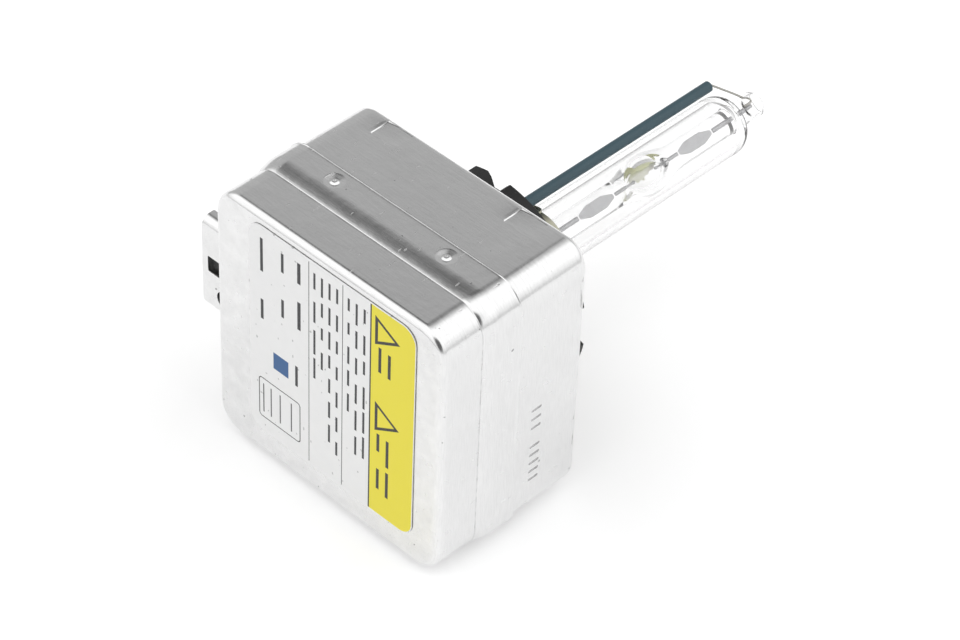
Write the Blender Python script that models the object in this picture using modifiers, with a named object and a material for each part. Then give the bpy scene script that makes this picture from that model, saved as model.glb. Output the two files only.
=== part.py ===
"""Xenon discharge headlight bulb with its igniter in a square metal box.

The lamp frame has +Y along the lamp's axis, from the label face of the box to the
tip of the burner, +X to the right and +Z up. Its origin is the centre of the label
face. The empty "lamp_frame" carries it, so that the world origin is under the middle
of the whole lamp, on the surface that the box lies on.
"""
import math

import bmesh
import bpy
from mathutils import Matrix, Vector

MM = 0.001


def mm(*values):
    """Millimetres as metres."""
    return tuple(value * MM for value in values)


# ---------------------------------------------------------------- driving dimensions
OVERCUT = 1.0 * MM            # how far a cutter reaches past what it cuts

# The box: two drawn aluminium shells, the rear one lapped over the front one.
HALF_WIDTH = 21.0 * MM        # outside of the lap band, along X
HALF_HEIGHT = 21.1 * MM       # outside of the lap band, along Z
SHEET = 0.4 * MM
LAP_GAP = 0.15 * MM
REAR_INSET = 0.5 * MM         # how far the rear band stands inside the lap band
STEP_START = 7.05 * MM
STEP_END = 8.25 * MM
SEAM_Y = 13.3 * MM            # open edge of the rear cover
FRONT_OPEN_Y = 9.0 * MM       # open edge of the front shell, inside the lap
BOX_FRONT_Y = 25.6 * MM
CORNER_RADIUS = 4.15 * MM
EDGE_RADIUS = 1.2 * MM
BOX_OPENING_RADIUS = 13.2 * MM

# The rating label on the rear cover.
LABEL_LEFT, LABEL_RIGHT = -13.8 * MM, 16.0 * MM
LABEL_BOTTOM, LABEL_TOP = -16.2 * MM, 19.2 * MM
LABEL_THICKNESS = 0.12 * MM
LABEL_GAP = 0.05 * MM
LABEL_CORNER = 2.2 * MM

# The plug connector on the left side, with its mouth towards -X.
PLUG_END_X = -27.9 * MM
PLUG_ROOT_X = -19.6 * MM
PLUG_REAR_Y, PLUG_FRONT_Y = 4.4 * MM, 13.0 * MM
PLUG_HALF_Z = 7.6 * MM
PLUG_CORNER = 1.5 * MM
KEY_SLOT_REAR_Y, KEY_SLOT_FRONT_Y = 6.7 * MM, 10.9 * MM
KEY_SLOT_END_X = -22.4 * MM
KEY_SLOT_DROP = 1.2 * MM      # how deep the slot is cut below the top of the shroud
LATCH_LEFT_X, LATCH_RIGHT_X = -26.8 * MM, -24.1 * MM
LATCH_LOW_Z, LATCH_HIGH_Z = -0.9 * MM, 1.7 * MM
WINDOW_CUT = 0.6 * MM         # depth of the cut for both windows in the shroud's wall
ROUND_WINDOW_X, ROUND_WINDOW_Z = -23.7 * MM, -4.4 * MM
ROUND_WINDOW_RADIUS = 1.45 * MM
FIT_GAP = 0.3 * MM
PLUG_MOUTH = 0.3 * MM         # from the shroud's end to the insert
INSERT_PAST_ROOT = 0.2 * MM   # how far the insert reaches past the shroud's root
PLUG_WALL = 0.9 * MM
PLUG_FLOOR = 1.0 * MM
INSERT_CORNER = 0.8 * MM
PIN_PITCH = 2.8 * MM
PIN_COUNT = 4
PIN_TIP_X = -23.5 * MM
PIN_ROOT_X = -16.9 * MM
PIN_HALF_Y, PIN_HALF_Z = 0.32 * MM, 0.5 * MM
PIN_EDGE = 0.15 * MM

# The keyed flange of the lamp base.
FLANGE_RADIUS = 16.0 * MM
FLANGE_ROOT_RADIUS = 13.9 * MM
FLANGE_REAR_Y, FLANGE_FRONT_Y = 27.5 * MM, 30.9 * MM
REFERENCE_Y = 32.0 * MM       # tops of the three locating bosses
BOSS_ANGLES = (33.0, 153.0, 273.0)
BOSS_INNER, BOSS_OUTER, BOSS_HALF_WIDTH = 13.6 * MM, 15.6 * MM, 1.9 * MM
NECK_RADIUS = 12.8 * MM
NECK_REAR_Y = 22.6 * MM
BASE_BORE_RADIUS = 2.6 * MM
RECESS_RADIUS = 8.6 * MM
RECESS_Y = 29.4 * MM
NOTCHES = ((2.0, 8.0), (90.9, 3.8), (115.0, 6.0), (178.0, 8.0),
           (232.0, 6.0), (271.0, 5.7), (318.0, 6.0))   # centre and half width, degrees

# The steel ring in the base, its four upright tabs, and the clamp on the burner.
RING_OUTER, RING_INNER, RING_THICKNESS = 8.2 * MM, 5.45 * MM, 0.6 * MM
TAB_COUNT = 4
TAB_THICKNESS, TAB_HALF_WIDTH = 0.35 * MM, 1.1 * MM
TAB_ROOT = 0.05 * MM          # how far into the ring's thickness a tab starts
TAB_TURN = 10.0               # degrees from +X to the first tab
TAB_SHORT = 0.2 * MM          # how far the tabs stop short of the clamp's front
CLAMP_REAR_Y, CLAMP_FRONT_Y = 33.2 * MM, 39.5 * MM
CLAMP_OUTER, CLAMP_INNER = 5.1 * MM, 4.7 * MM

# The burner: a sealed arc tube inside an ultraviolet-stopping outer tube.
ARC_CENTRE_Y = REFERENCE_Y + 27.1 * MM     # light centre length of this lamp family
ARC_GAP = 4.2 * MM
OUTER_RADIUS = 4.4 * MM
OUTER_WALL = 0.9 * MM
OUTER_SHOULDER = 2.4 * MM     # length over which the outer tube closes down
OUTER_LIP = 0.5 * MM
OUTER_REAR_Y, OUTER_FRONT_Y = 33.0 * MM, 77.0 * MM
LEG_RADIUS = 1.88 * MM
LEG_REAR_Y, LEG_FRONT_Y = 31.0 * MM, 82.2 * MM
LEG_BORE = 1.3 * MM
BULB_RADIUS = 3.0 * MM
BULB_HALF_LENGTH = 6.3 * MM
CHAMBER_RADIUS = 1.6 * MM
CHAMBER_HALF_LENGTH = 4.0 * MM
THROAT_RADIUS = 0.55 * MM
THROAT_LENGTH, THROAT_TAPER = 1.4 * MM, 0.6 * MM
WIRE_SLOT_LENGTH, WIRE_SLOT_HALF_WIDTH = 2.6 * MM, 0.6 * MM
ELECTRODE_RADIUS, TIP_RADIUS, TIP_LENGTH = 0.16 * MM, 0.25 * MM, 0.6 * MM
FOIL_LENGTH = 6.6 * MM
FOIL_WIDTH = 1.1 * MM
FOIL_THICKNESS = 0.1 * MM
FOIL_OFFSET = 6.5 * MM        # arc centre to the near end of a foil
FOIL_LEAN = 37.0              # degrees; the foils' flat sides face up and to the right
WIRE_RADIUS = 0.22 * MM
REAR_LEAD_END_Y, FRONT_LEAD_END_Y = 19.5 * MM, 80.9 * MM
SALT_RADIUS, SALT_BEARING = 0.95 * MM, 143.0
SALT_HALF_SIZE = mm(0.25, 1.9, 0.45)

# The ceramic sleeve over the return wire, beside the burner.
SLEEVE_X, SLEEVE_Z = -1.63 * MM, 6.72 * MM
SLEEVE_RADIUS = 0.8 * MM
SLEEVE_BORE = 0.5 * MM
SLEEVE_REAR_Y, SLEEVE_FRONT_Y = 24.0 * MM, 73.7 * MM
SLEEVE_RISE = math.hypot(SLEEVE_X, SLEEVE_Z)
RETURN_ROUTE = (              # distance from the lamp's axis, and place along it
    (SLEEVE_RISE, 22.6 * MM), (SLEEVE_RISE, 73.9 * MM), (SLEEVE_RISE - 0.25 * MM, 74.4 * MM),
    mm(4.6, 76.9), mm(2.95, 78.9), mm(0.9, 81.2),
)

# The igniter inside the box.
CASE_HALF_X, CASE_HALF_Z = 18.9 * MM, 19.0 * MM
CASE_REAR_Y, CASE_FRONT_Y = 1.6 * MM, 22.3 * MM
CASE_WALL = 1.2 * MM
CASE_CORNER = 3.0 * MM
LID_THICKNESS = 1.0 * MM
PIN_WINDOW_REAR_Y, PIN_WINDOW_FRONT_Y, PIN_WINDOW_HALF_Z = 6.4 * MM, 11.0 * MM, 6.0 * MM
LEAD_HOLE_RADIUS, WIRE_HOLE_RADIUS = 2.4 * MM, 0.8 * MM
COIL_X, COIL_Y = 10.0 * MM, 12.0 * MM
CORE_RADIUS = 2.6 * MM
CORE_HALF_LENGTH = 14.0 * MM
COIL_FLANGE_RADIUS = 6.4 * MM
COIL_PITCH = 6.0 * MM
COIL_SECTIONS = 4
COIL_FLANGE_THICKNESS, COIL_HUB_WALL = 0.8 * MM, 0.8 * MM
WINDING_RADIUS = 6.0 * MM
BAND_INNER, BAND_OUTER, BAND_HALF_LENGTH = 6.7 * MM, 7.1 * MM, 5.0 * MM
BAND_GAP_HALF_WIDTH = 1.2 * MM
SPARK_GAP_PLACE = mm(-9.0, 9.5, 11.2)
SPARK_GAP_PROFILE = (mm(3.4, -3.4), mm(3.6, -2.4), mm(4.0, -2.2), mm(4.0, 2.2), mm(3.6, 2.4), mm(3.4, 3.4))
CAPACITOR_LOW, CAPACITOR_HIGH = mm(-14.6, 4.2, -15.6), mm(-4.6, 17.2, -7.4)
CAPACITOR_CORNER = 1.2 * MM
RESISTOR_PLACE = mm(-15.2, 17.6, -3.0)
RESISTOR_PROFILE = (mm(1.2, -3.3), mm(1.2, -2.2), mm(1.0, -1.9), mm(1.0, 1.9), mm(1.2, 2.2), mm(1.2, 3.3))
STRIP_THICKNESS, STRIP_DROP = 0.5 * MM, 0.8 * MM     # the drop is from the case's end wall
SUPPLY_OUTLINE = (mm(-16.6, 4.6), mm(-14.6, 4.6), mm(-14.6, 13.4), mm(-5.4, 13.4), mm(-5.4, 15.4),
                  mm(-16.6, 15.4))
GAP_OUTLINE = (mm(-12.0, 9.0), mm(1.6, 9.0), mm(1.6, 11.0), mm(-12.0, 11.0))
RETURN_OUTLINE = (mm(-12.4, -16.4), mm(1.6, -16.4), mm(1.6, -14.4), mm(-10.4, -14.4), mm(-10.4, 5.6),
                  mm(-12.4, 5.6))
CONTACT_REAR_Y, CONTACT_FRONT_Y = 16.6 * MM, 21.4 * MM
CONTACT_OUTER, CONTACT_INNER = 1.1 * MM, 0.55 * MM
GROUND_LOW, GROUND_HIGH = mm(-19.7, 14.0, -3.0), mm(-19.3, 20.5, 3.0)
GROUND_CORNER = 0.8 * MM


# ---------------------------------------------------------------- the scene
for old in list(bpy.data.objects):
    bpy.data.objects.remove(old, do_unlink=True)

parts = bpy.data.collections.new("headlight_bulb")
cutters = bpy.data.collections.new("cutters")
for group in (parts, cutters):
    bpy.context.scene.collection.children.link(group)

lamp_frame = bpy.data.objects.new("lamp_frame", None)
lamp_frame.location = (
    -(PLUG_END_X + HALF_WIDTH) / 2,
    -(LEG_FRONT_Y - LABEL_THICKNESS - LABEL_GAP) / 2,
    HALF_HEIGHT,
)
parts.objects.link(lamp_frame)

ALONG_LAMP = (-math.pi / 2, 0.0, 0.0)     # turns a local +Z to the lamp's +Y


# ---------------------------------------------------------------- materials
def material(name, colour, roughness, metallic=0.0):
    """A Principled material of one colour, made once and shared."""
    made = bpy.data.materials.get(name)
    if made is None:
        made = bpy.data.materials.new(name)
        made.use_nodes = True
        shader = made.node_tree.nodes["Principled BSDF"]
        shader.inputs["Base Color"].default_value = (*colour, 1.0)
        shader.inputs["Roughness"].default_value = roughness
        shader.inputs["Metallic"].default_value = metallic
    return made


ALUMINIUM = material("drawn_aluminium", (0.78, 0.78, 0.77), 0.32, 1.0)
LABEL_FILM = material("label_film", (0.82, 0.83, 0.82), 0.4)
BLACK_PLASTIC = material("black_plastic", (0.02, 0.02, 0.022), 0.45)
CASE_PLASTIC = material("case_plastic", (0.05, 0.05, 0.055), 0.6)
QUARTZ = material("quartz_glass", (0.9, 0.92, 0.93), 0.05)
CERAMIC = material("blue_ceramic", (0.05, 0.11, 0.14), 0.5)
STEEL = material("stainless_steel", (0.55, 0.54, 0.5), 0.3, 1.0)
MOLYBDENUM = material("molybdenum", (0.45, 0.46, 0.47), 0.35, 1.0)
TUNGSTEN = material("tungsten", (0.3, 0.3, 0.31), 0.4, 1.0)
SALT = material("iodide_salt", (0.75, 0.72, 0.42), 0.7)
COPPER = material("enamelled_copper", (0.6, 0.28, 0.12), 0.35, 1.0)
TINNED = material("tinned_copper", (0.7, 0.69, 0.66), 0.3, 1.0)
FERRITE = material("ferrite", (0.06, 0.06, 0.065), 0.55)
BOBBIN_PLASTIC = material("bobbin_plastic", (0.7, 0.66, 0.55), 0.5)
GAP_CERAMIC = material("white_ceramic", (0.85, 0.84, 0.8), 0.35)
CAPACITOR_RESIN = material("capacitor_resin", (0.35, 0.08, 0.05), 0.45)
RESISTOR_PAINT = material("resistor_paint", (0.25, 0.4, 0.5), 0.4)


# ---------------------------------------------------------------- modelling helpers
def add(name, data, finish, location=(0, 0, 0), rotation=(0, 0, 0), group=parts):
    """Link a mesh or curve as one object on the lamp frame."""
    made = bpy.data.objects.new(name, data)
    made.location = location
    made.rotation_euler = rotation
    made.parent = lamp_frame
    group.objects.link(made)
    if finish is not None:
        data.materials.append(finish)
    else:
        made.hide_render = True
        made.display_type = "WIRE"
    return made


def mesh_from(bm, name, smooth_below=None):
    """Turn a bmesh into a mesh, shaded smooth where its faces meet at a small angle."""
    bmesh.ops.recalc_face_normals(bm, faces=bm.faces)
    mesh = bpy.data.meshes.new(name)
    bm.to_mesh(mesh)
    bm.free()
    if smooth_below is not None:
        mesh.shade_smooth()
        mesh.set_sharp_from_angle(angle=math.radians(smooth_below))
    return mesh


def block_bmesh(low, high):
    """A box between two corners."""
    low, high = Vector(low), Vector(high)
    bm = bmesh.new()
    bmesh.ops.create_cube(bm, size=1.0)
    bmesh.ops.scale(bm, vec=high - low, verts=bm.verts)
    bmesh.ops.translate(bm, vec=(low + high) / 2, verts=bm.verts)
    return bm


def edges_along(bm, axis):
    """The edges of a box that run along one axis."""
    return [edge for edge in bm.edges
            if abs((edge.verts[1].co - edge.verts[0].co).normalized()[axis]) > 0.99]


def block(name, low, high, finish, round_axis=None, radius=0.0, segments=3, group=parts):
    """A box, with the four edges along one axis rounded if wanted."""
    bm = block_bmesh(low, high)
    if round_axis is not None:
        bmesh.ops.bevel(bm, geom=edges_along(bm, round_axis), offset=radius,
                        segments=segments, profile=0.5, affect="EDGES")
    return add(name, mesh_from(bm, name, 40), finish, group=group)


def cutter_block(name, low, high):
    """A box that only cuts."""
    return block(name, low, high, None, group=cutters)


def rod(name, radius, start, end, finish, sides=24, group=parts):
    """A straight round bar between two points."""
    start, end = Vector(start), Vector(end)
    bm = bmesh.new()
    bmesh.ops.create_cone(bm, cap_ends=True, segments=sides, radius1=radius,
                          radius2=radius, depth=(end - start).length)
    turn = (end - start).to_track_quat("Z", "Y").to_matrix().to_4x4()
    bmesh.ops.transform(bm, matrix=Matrix.Translation((start + end) / 2) @ turn, verts=bm.verts)
    return add(name, mesh_from(bm, name, 40), finish, group=group)


def turned(name, outer, inner, finish, sides=24, location=(0, 0, 0), rotation=ALONG_LAMP):
    """A turned piece. Both profiles are (radius, distance) from rear to front."""
    loop = list(reversed(outer)) + list(inner)
    mesh = bpy.data.meshes.new(name)
    closed = inner != []
    count = len(loop)
    edges = [(i, (i + 1) % count) for i in range(count if closed else count - 1)]
    mesh.from_pydata([(radius, 0.0, along) for radius, along in loop], edges, [])
    made = add(name, mesh, finish, location, rotation)
    screw = made.modifiers.new("turn", "SCREW")
    screw.steps = sides
    screw.render_steps = sides
    screw.use_merge_vertices = True
    screw.merge_threshold = 0.00001
    screw.use_smooth_shade = True
    return made


def wire(name, points, radius, finish):
    """A round wire through a few points, with closed ends."""
    curve = bpy.data.curves.new(name, "CURVE")
    curve.dimensions = "3D"
    curve.bevel_depth = radius
    curve.bevel_resolution = 2
    curve.use_fill_caps = True
    spline = curve.splines.new("POLY")
    spline.points.add(len(points) - 1)
    for point, place in zip(spline.points, points):
        point.co = (*place, 1.0)
    return add(name, curve, finish)


def strip(name, outline, y, thickness, finish):
    """A flat stamped strip: an outline in X and Z, as thick as given along Y."""
    curve = bpy.data.curves.new(name, "CURVE")
    curve.dimensions = "2D"
    curve.fill_mode = "BOTH"
    curve.extrude = thickness / 2
    spline = curve.splines.new("POLY")
    spline.points.add(len(outline) - 1)
    for point, (x, z) in zip(spline.points, outline):
        point.co = (x, z, 0.0, 1.0)
    spline.use_cyclic_u = True
    return add(name, curve, finish, location=(0, y, 0), rotation=(math.pi / 2, 0, 0))


def change(target, tool, operation="DIFFERENCE"):
    """Cut the target with the tool, or join the tool to it."""
    boolean = target.modifiers.new(tool.name, "BOOLEAN")
    boolean.operation = operation
    boolean.solver = "EXACT"
    boolean.object = tool


def around(radius, degrees, y):
    """A point at an angle round the lamp's axis, from +X towards +Z."""
    angle = math.radians(degrees)
    return Vector((radius * math.cos(angle), y, radius * math.sin(angle)))


# ---------------------------------------------------------------- the metal box
def drawn_shell(name, half_x, half_z, closed_y, open_y, step_inset=0.0):
    """A drawn sheet shell: a square cup with round corners and one closed end."""
    low = (-half_x, min(closed_y, open_y), -half_z)
    high = (half_x, max(closed_y, open_y), half_z)
    bm = block_bmesh(low, high)
    bmesh.ops.bevel(bm, geom=edges_along(bm, 1), offset=CORNER_RADIUS, segments=6,
                    profile=0.5, affect="EDGES")
    closed_rim = {edge for face in bm.faces for edge in face.edges
                  if abs(face.normal.y) > 0.9 and abs(face.calc_center_median().y - closed_y) < 1e-6}
    bmesh.ops.bevel(bm, geom=list(closed_rim), offset=EDGE_RADIUS, segments=3,
                    profile=0.5, affect="EDGES")
    open_faces = [face for face in bm.faces
                  if abs(face.normal.y) > 0.9 and abs(face.calc_center_median().y - open_y) < 1e-6]
    bmesh.ops.delete(bm, geom=open_faces, context="FACES")
    if step_inset:
        for plane_y in (STEP_START, STEP_END):
            bmesh.ops.bisect_plane(bm, geom=bm.verts[:] + bm.edges[:] + bm.faces[:],
                                   plane_co=(0, plane_y, 0), plane_no=(0, 1, 0))
        for vert in bm.verts:
            if vert.co.y < STEP_START + 0.01 * MM:
                vert.co.x -= math.copysign(step_inset, vert.co.x)
                vert.co.z -= math.copysign(step_inset, vert.co.z)
    made = add(name, mesh_from(bm, name, 40), ALUMINIUM)
    wall = made.modifiers.new("sheet", "SOLIDIFY")
    wall.thickness = SHEET
    wall.offset = -1.0
    wall.use_even_offset = True
    return made


def metal_box():
    """Rear cover with its stepped lap band, and the front shell that it closes over."""
    rear = drawn_shell("rear_cover", HALF_WIDTH, HALF_HEIGHT, 0.0, SEAM_Y, REAR_INSET)
    lap = SHEET + LAP_GAP
    front = drawn_shell("front_shell", HALF_WIDTH - lap, HALF_HEIGHT - lap,
                        BOX_FRONT_Y, FRONT_OPEN_Y)
    plug_hole = cutter_block(
        "plug_hole",
        (-HALF_WIDTH - OVERCUT, PLUG_REAR_Y - FIT_GAP, -PLUG_HALF_Z - FIT_GAP),
        (-HALF_WIDTH + 3 * OVERCUT, SEAM_Y + OVERCUT / 5, PLUG_HALF_Z + FIT_GAP))
    neck_hole = rod("neck_hole", BOX_OPENING_RADIUS, (0, BOX_FRONT_Y - 2 * OVERCUT, 0),
                    (0, BOX_FRONT_Y + 2 * OVERCUT, 0), None, sides=48, group=cutters)
    change(rear, plug_hole)
    change(front, plug_hole)
    change(front, neck_hole)


def rating_label():
    """The adhesive film label on the rear cover."""
    block("rating_label", (LABEL_LEFT, -LABEL_GAP - LABEL_THICKNESS, LABEL_BOTTOM),
          (LABEL_RIGHT, -LABEL_GAP, LABEL_TOP), LABEL_FILM, round_axis=1, radius=LABEL_CORNER, segments=4)


# ---------------------------------------------------------------- the plug connector
def connector():
    """Folded metal shroud, plastic insert and four contact pins."""
    shroud = block("connector_shroud", (PLUG_END_X, PLUG_REAR_Y, -PLUG_HALF_Z),
                   (PLUG_ROOT_X, PLUG_FRONT_Y, PLUG_HALF_Z), ALUMINIUM, round_axis=0, radius=PLUG_CORNER)
    inner_low = (PLUG_END_X - OVERCUT, PLUG_REAR_Y + SHEET, -PLUG_HALF_Z + SHEET)
    inner_high = (PLUG_ROOT_X + OVERCUT, PLUG_FRONT_Y - SHEET, PLUG_HALF_Z - SHEET)
    mouth = block("shroud_inside", inner_low, inner_high, None, round_axis=0,
                  radius=PLUG_CORNER - SHEET, group=cutters)
    key_slot = cutter_block("key_slot", (PLUG_END_X - OVERCUT, KEY_SLOT_REAR_Y, PLUG_HALF_Z - KEY_SLOT_DROP),
                            (KEY_SLOT_END_X, KEY_SLOT_FRONT_Y, PLUG_HALF_Z + OVERCUT))
    cut_start, cut_end = PLUG_REAR_Y - OVERCUT, PLUG_REAR_Y + WINDOW_CUT
    latch_window = cutter_block("latch_window", (LATCH_LEFT_X, cut_start, LATCH_LOW_Z),
                                (LATCH_RIGHT_X, cut_end, LATCH_HIGH_Z))
    round_window = rod("round_window", ROUND_WINDOW_RADIUS, (ROUND_WINDOW_X, cut_start, ROUND_WINDOW_Z),
                       (ROUND_WINDOW_X, cut_end, ROUND_WINDOW_Z), None, sides=16, group=cutters)
    for tool in (mouth, key_slot, latch_window, round_window):
        change(shroud, tool)

    clear = SHEET + FIT_GAP
    body_low = Vector((PLUG_END_X + PLUG_MOUTH, PLUG_REAR_Y + clear, -PLUG_HALF_Z + clear))
    body_high = Vector((PLUG_ROOT_X + INSERT_PAST_ROOT, PLUG_FRONT_Y - clear, PLUG_HALF_Z - clear))
    body = block("connector_body", body_low, body_high, BLACK_PLASTIC, round_axis=0,
                 radius=INSERT_CORNER, segments=2)
    socket = cutter_block("socket", body_low + Vector((-OVERCUT, PLUG_WALL, PLUG_WALL)),
                          body_high - Vector((PLUG_FLOOR, PLUG_WALL, PLUG_WALL)))
    change(body, socket)
    middle_y = (PLUG_REAR_Y + PLUG_FRONT_Y) / 2
    hole_half_y, hole_half_z = PIN_HALF_Y + FIT_GAP, PIN_HALF_Z + FIT_GAP
    for number in range(PIN_COUNT):
        z = (number - (PIN_COUNT - 1) / 2) * PIN_PITCH
        hole = cutter_block(f"pin_hole_{number + 1}",
                            (PLUG_ROOT_X - 2 * OVERCUT, middle_y - hole_half_y, z - hole_half_z),
                            (PLUG_ROOT_X + OVERCUT, middle_y + hole_half_y, z + hole_half_z))
        change(body, hole)
        block(f"contact_pin_{number + 1}", (PIN_TIP_X, middle_y - PIN_HALF_Y, z - PIN_HALF_Z),
              (PIN_ROOT_X, middle_y + PIN_HALF_Y, z + PIN_HALF_Z), TINNED, round_axis=0,
              radius=PIN_EDGE, segments=1)


# ---------------------------------------------------------------- the lamp base
def lamp_base():
    """Moulded base: neck through the box, keyed flange and three locating bosses."""
    bm = bmesh.new()
    middle = (FLANGE_REAR_Y + FLANGE_FRONT_Y) / 2
    lay_along = Matrix.Translation((0, middle, 0)) @ Matrix.Rotation(-math.pi / 2, 4, "X")
    bmesh.ops.create_cone(bm, cap_ends=True, segments=90, radius1=FLANGE_RADIUS,
                          radius2=FLANGE_RADIUS, depth=FLANGE_FRONT_Y - FLANGE_REAR_Y, matrix=lay_along)
    for vert in bm.verts:
        degrees = math.degrees(math.atan2(vert.co.z, vert.co.x)) % 360
        for centre, half_width in NOTCHES:
            away = abs((degrees - centre + 180) % 360 - 180)
            if away < half_width:
                vert.co.x *= FLANGE_ROOT_RADIUS / FLANGE_RADIUS
                vert.co.z *= FLANGE_ROOT_RADIUS / FLANGE_RADIUS
    base = add("lamp_base", mesh_from(bm, "lamp_base", 30), BLACK_PLASTIC)

    neck = rod("neck", NECK_RADIUS, (0, NECK_REAR_Y, 0), (0, FLANGE_REAR_Y + OVERCUT, 0),
               None, sides=48, group=cutters)
    change(base, neck, "UNION")
    for number, degrees in enumerate(BOSS_ANGLES):
        boss = block(f"boss_{number}", (BOSS_INNER, FLANGE_FRONT_Y - OVERCUT, -BOSS_HALF_WIDTH),
                     (BOSS_OUTER, REFERENCE_Y, BOSS_HALF_WIDTH), None, group=cutters)
        boss.rotation_euler = (0, -math.radians(degrees), 0)
        change(base, boss, "UNION")
    cut_end = FLANGE_FRONT_Y + OVERCUT
    bore = rod("base_bore", BASE_BORE_RADIUS, (0, NECK_REAR_Y - OVERCUT, 0), (0, cut_end, 0),
               None, sides=32, group=cutters)
    recess = rod("base_recess", RECESS_RADIUS, (0, RECESS_Y, 0), (0, cut_end, 0),
                 None, sides=32, group=cutters)
    sleeve_hole = rod("sleeve_hole", SLEEVE_RADIUS + FIT_GAP, (SLEEVE_X, NECK_REAR_Y - OVERCUT, SLEEVE_Z),
                      (SLEEVE_X, cut_end, SLEEVE_Z), None, sides=16, group=cutters)
    for tool in (bore, recess, sleeve_hole):
        change(base, tool)


def burner_mounting():
    """Steel ring with four tabs in the base, and the clamp that the tabs hold."""
    ring_rear = RECESS_Y + FIT_GAP
    ring_front = ring_rear + RING_THICKNESS
    ring = turned("mounting_ring", [(RING_OUTER, ring_rear), (RING_OUTER, ring_front)],
                  [(RING_INNER, ring_rear), (RING_INNER, ring_front)], STEEL, sides=32)
    for number in range(TAB_COUNT):
        tab = block(f"tab_{number}", (RING_INNER, ring_rear + TAB_ROOT, -TAB_HALF_WIDTH),
                    (RING_INNER + TAB_THICKNESS, CLAMP_FRONT_Y - TAB_SHORT, TAB_HALF_WIDTH),
                    None, group=cutters)
        tab.rotation_euler = (0, -math.radians(TAB_TURN + 360 * number / TAB_COUNT), 0)
        change(ring, tab, "UNION")
    sleeve_gap = rod("sleeve_gap", SLEEVE_RADIUS + FIT_GAP, (SLEEVE_X, ring_rear - OVERCUT, SLEEVE_Z),
                     (SLEEVE_X, ring_front + OVERCUT, SLEEVE_Z), None, sides=16, group=cutters)
    change(ring, sleeve_gap)

    turned("burner_clamp", [(CLAMP_OUTER, CLAMP_REAR_Y), (CLAMP_OUTER, CLAMP_FRONT_Y)],
           [(CLAMP_INNER, CLAMP_REAR_Y), (CLAMP_INNER, CLAMP_FRONT_Y)], STEEL)


# ---------------------------------------------------------------- the burner
def swell(along, half_length, low, high, power=2):
    """Radius of a bulge: low at its ends and high in its middle."""
    share = math.cos(math.pi / 2 * min(abs(along) / half_length, 1.0))
    return low + (high - low) * share ** power


def outer_envelope():
    """The outer tube, closed down to the arc tube's legs at both ends."""
    neck = LEG_RADIUS + FIT_GAP
    outer = []
    inner = []
    steps = 4
    for i in range(steps + 1):
        angle = math.pi / 2 * i / steps
        rise = math.sin(angle)
        run = OUTER_SHOULDER * (1 - math.cos(angle))
        lip = neck + OUTER_LIP
        outer.append((lip + (OUTER_RADIUS - lip) * rise, OUTER_REAR_Y + run))
        inner.append((neck + (OUTER_RADIUS - OUTER_WALL - neck) * rise, OUTER_REAR_Y + OUTER_WALL + run))
    outer += [(radius, OUTER_REAR_Y + OUTER_FRONT_Y - along) for radius, along in reversed(outer)]
    inner = [(neck, OUTER_REAR_Y)] + inner
    inner += [(radius, OUTER_REAR_Y + OUTER_FRONT_Y - along) for radius, along in reversed(inner)]
    turned("outer_envelope", outer, inner, QUARTZ)


def arc_tube():
    """Quartz arc tube: two hollow legs and the discharge chamber between them."""
    outer = [(LEG_RADIUS, LEG_REAR_Y)]
    count = 10
    for i in range(count + 1):
        along = BULB_HALF_LENGTH * (2 * i / count - 1)
        outer.append((swell(along, BULB_HALF_LENGTH, LEG_RADIUS, BULB_RADIUS), ARC_CENTRE_Y + along))
    outer.append((LEG_RADIUS, LEG_FRONT_Y))

    throat_end = CHAMBER_HALF_LENGTH + THROAT_LENGTH
    inner = [(LEG_BORE, LEG_REAR_Y), (LEG_BORE, ARC_CENTRE_Y - throat_end - THROAT_TAPER),
             (THROAT_RADIUS, ARC_CENTRE_Y - throat_end)]
    count = 8
    for i in range(count + 1):
        along = CHAMBER_HALF_LENGTH * (2 * i / count - 1)
        radius = swell(along, CHAMBER_HALF_LENGTH, THROAT_RADIUS, CHAMBER_RADIUS, power=1)
        inner.append((radius, ARC_CENTRE_Y + along))
    inner += [(THROAT_RADIUS, ARC_CENTRE_Y + throat_end),
              (LEG_BORE, ARC_CENTRE_Y + throat_end + THROAT_TAPER), (LEG_BORE, LEG_FRONT_Y)]
    tube = turned("arc_tube", outer, inner, QUARTZ, sides=20)

    slot = cutter_block("wire_slot", (0, LEG_FRONT_Y - WIRE_SLOT_LENGTH, -WIRE_SLOT_HALF_WIDTH),
                        (LEG_RADIUS + OVERCUT, LEG_FRONT_Y + OVERCUT, WIRE_SLOT_HALF_WIDTH))
    slot.rotation_euler = (0, -math.atan2(SLEEVE_Z, SLEEVE_X), 0)
    change(tube, slot)


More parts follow.
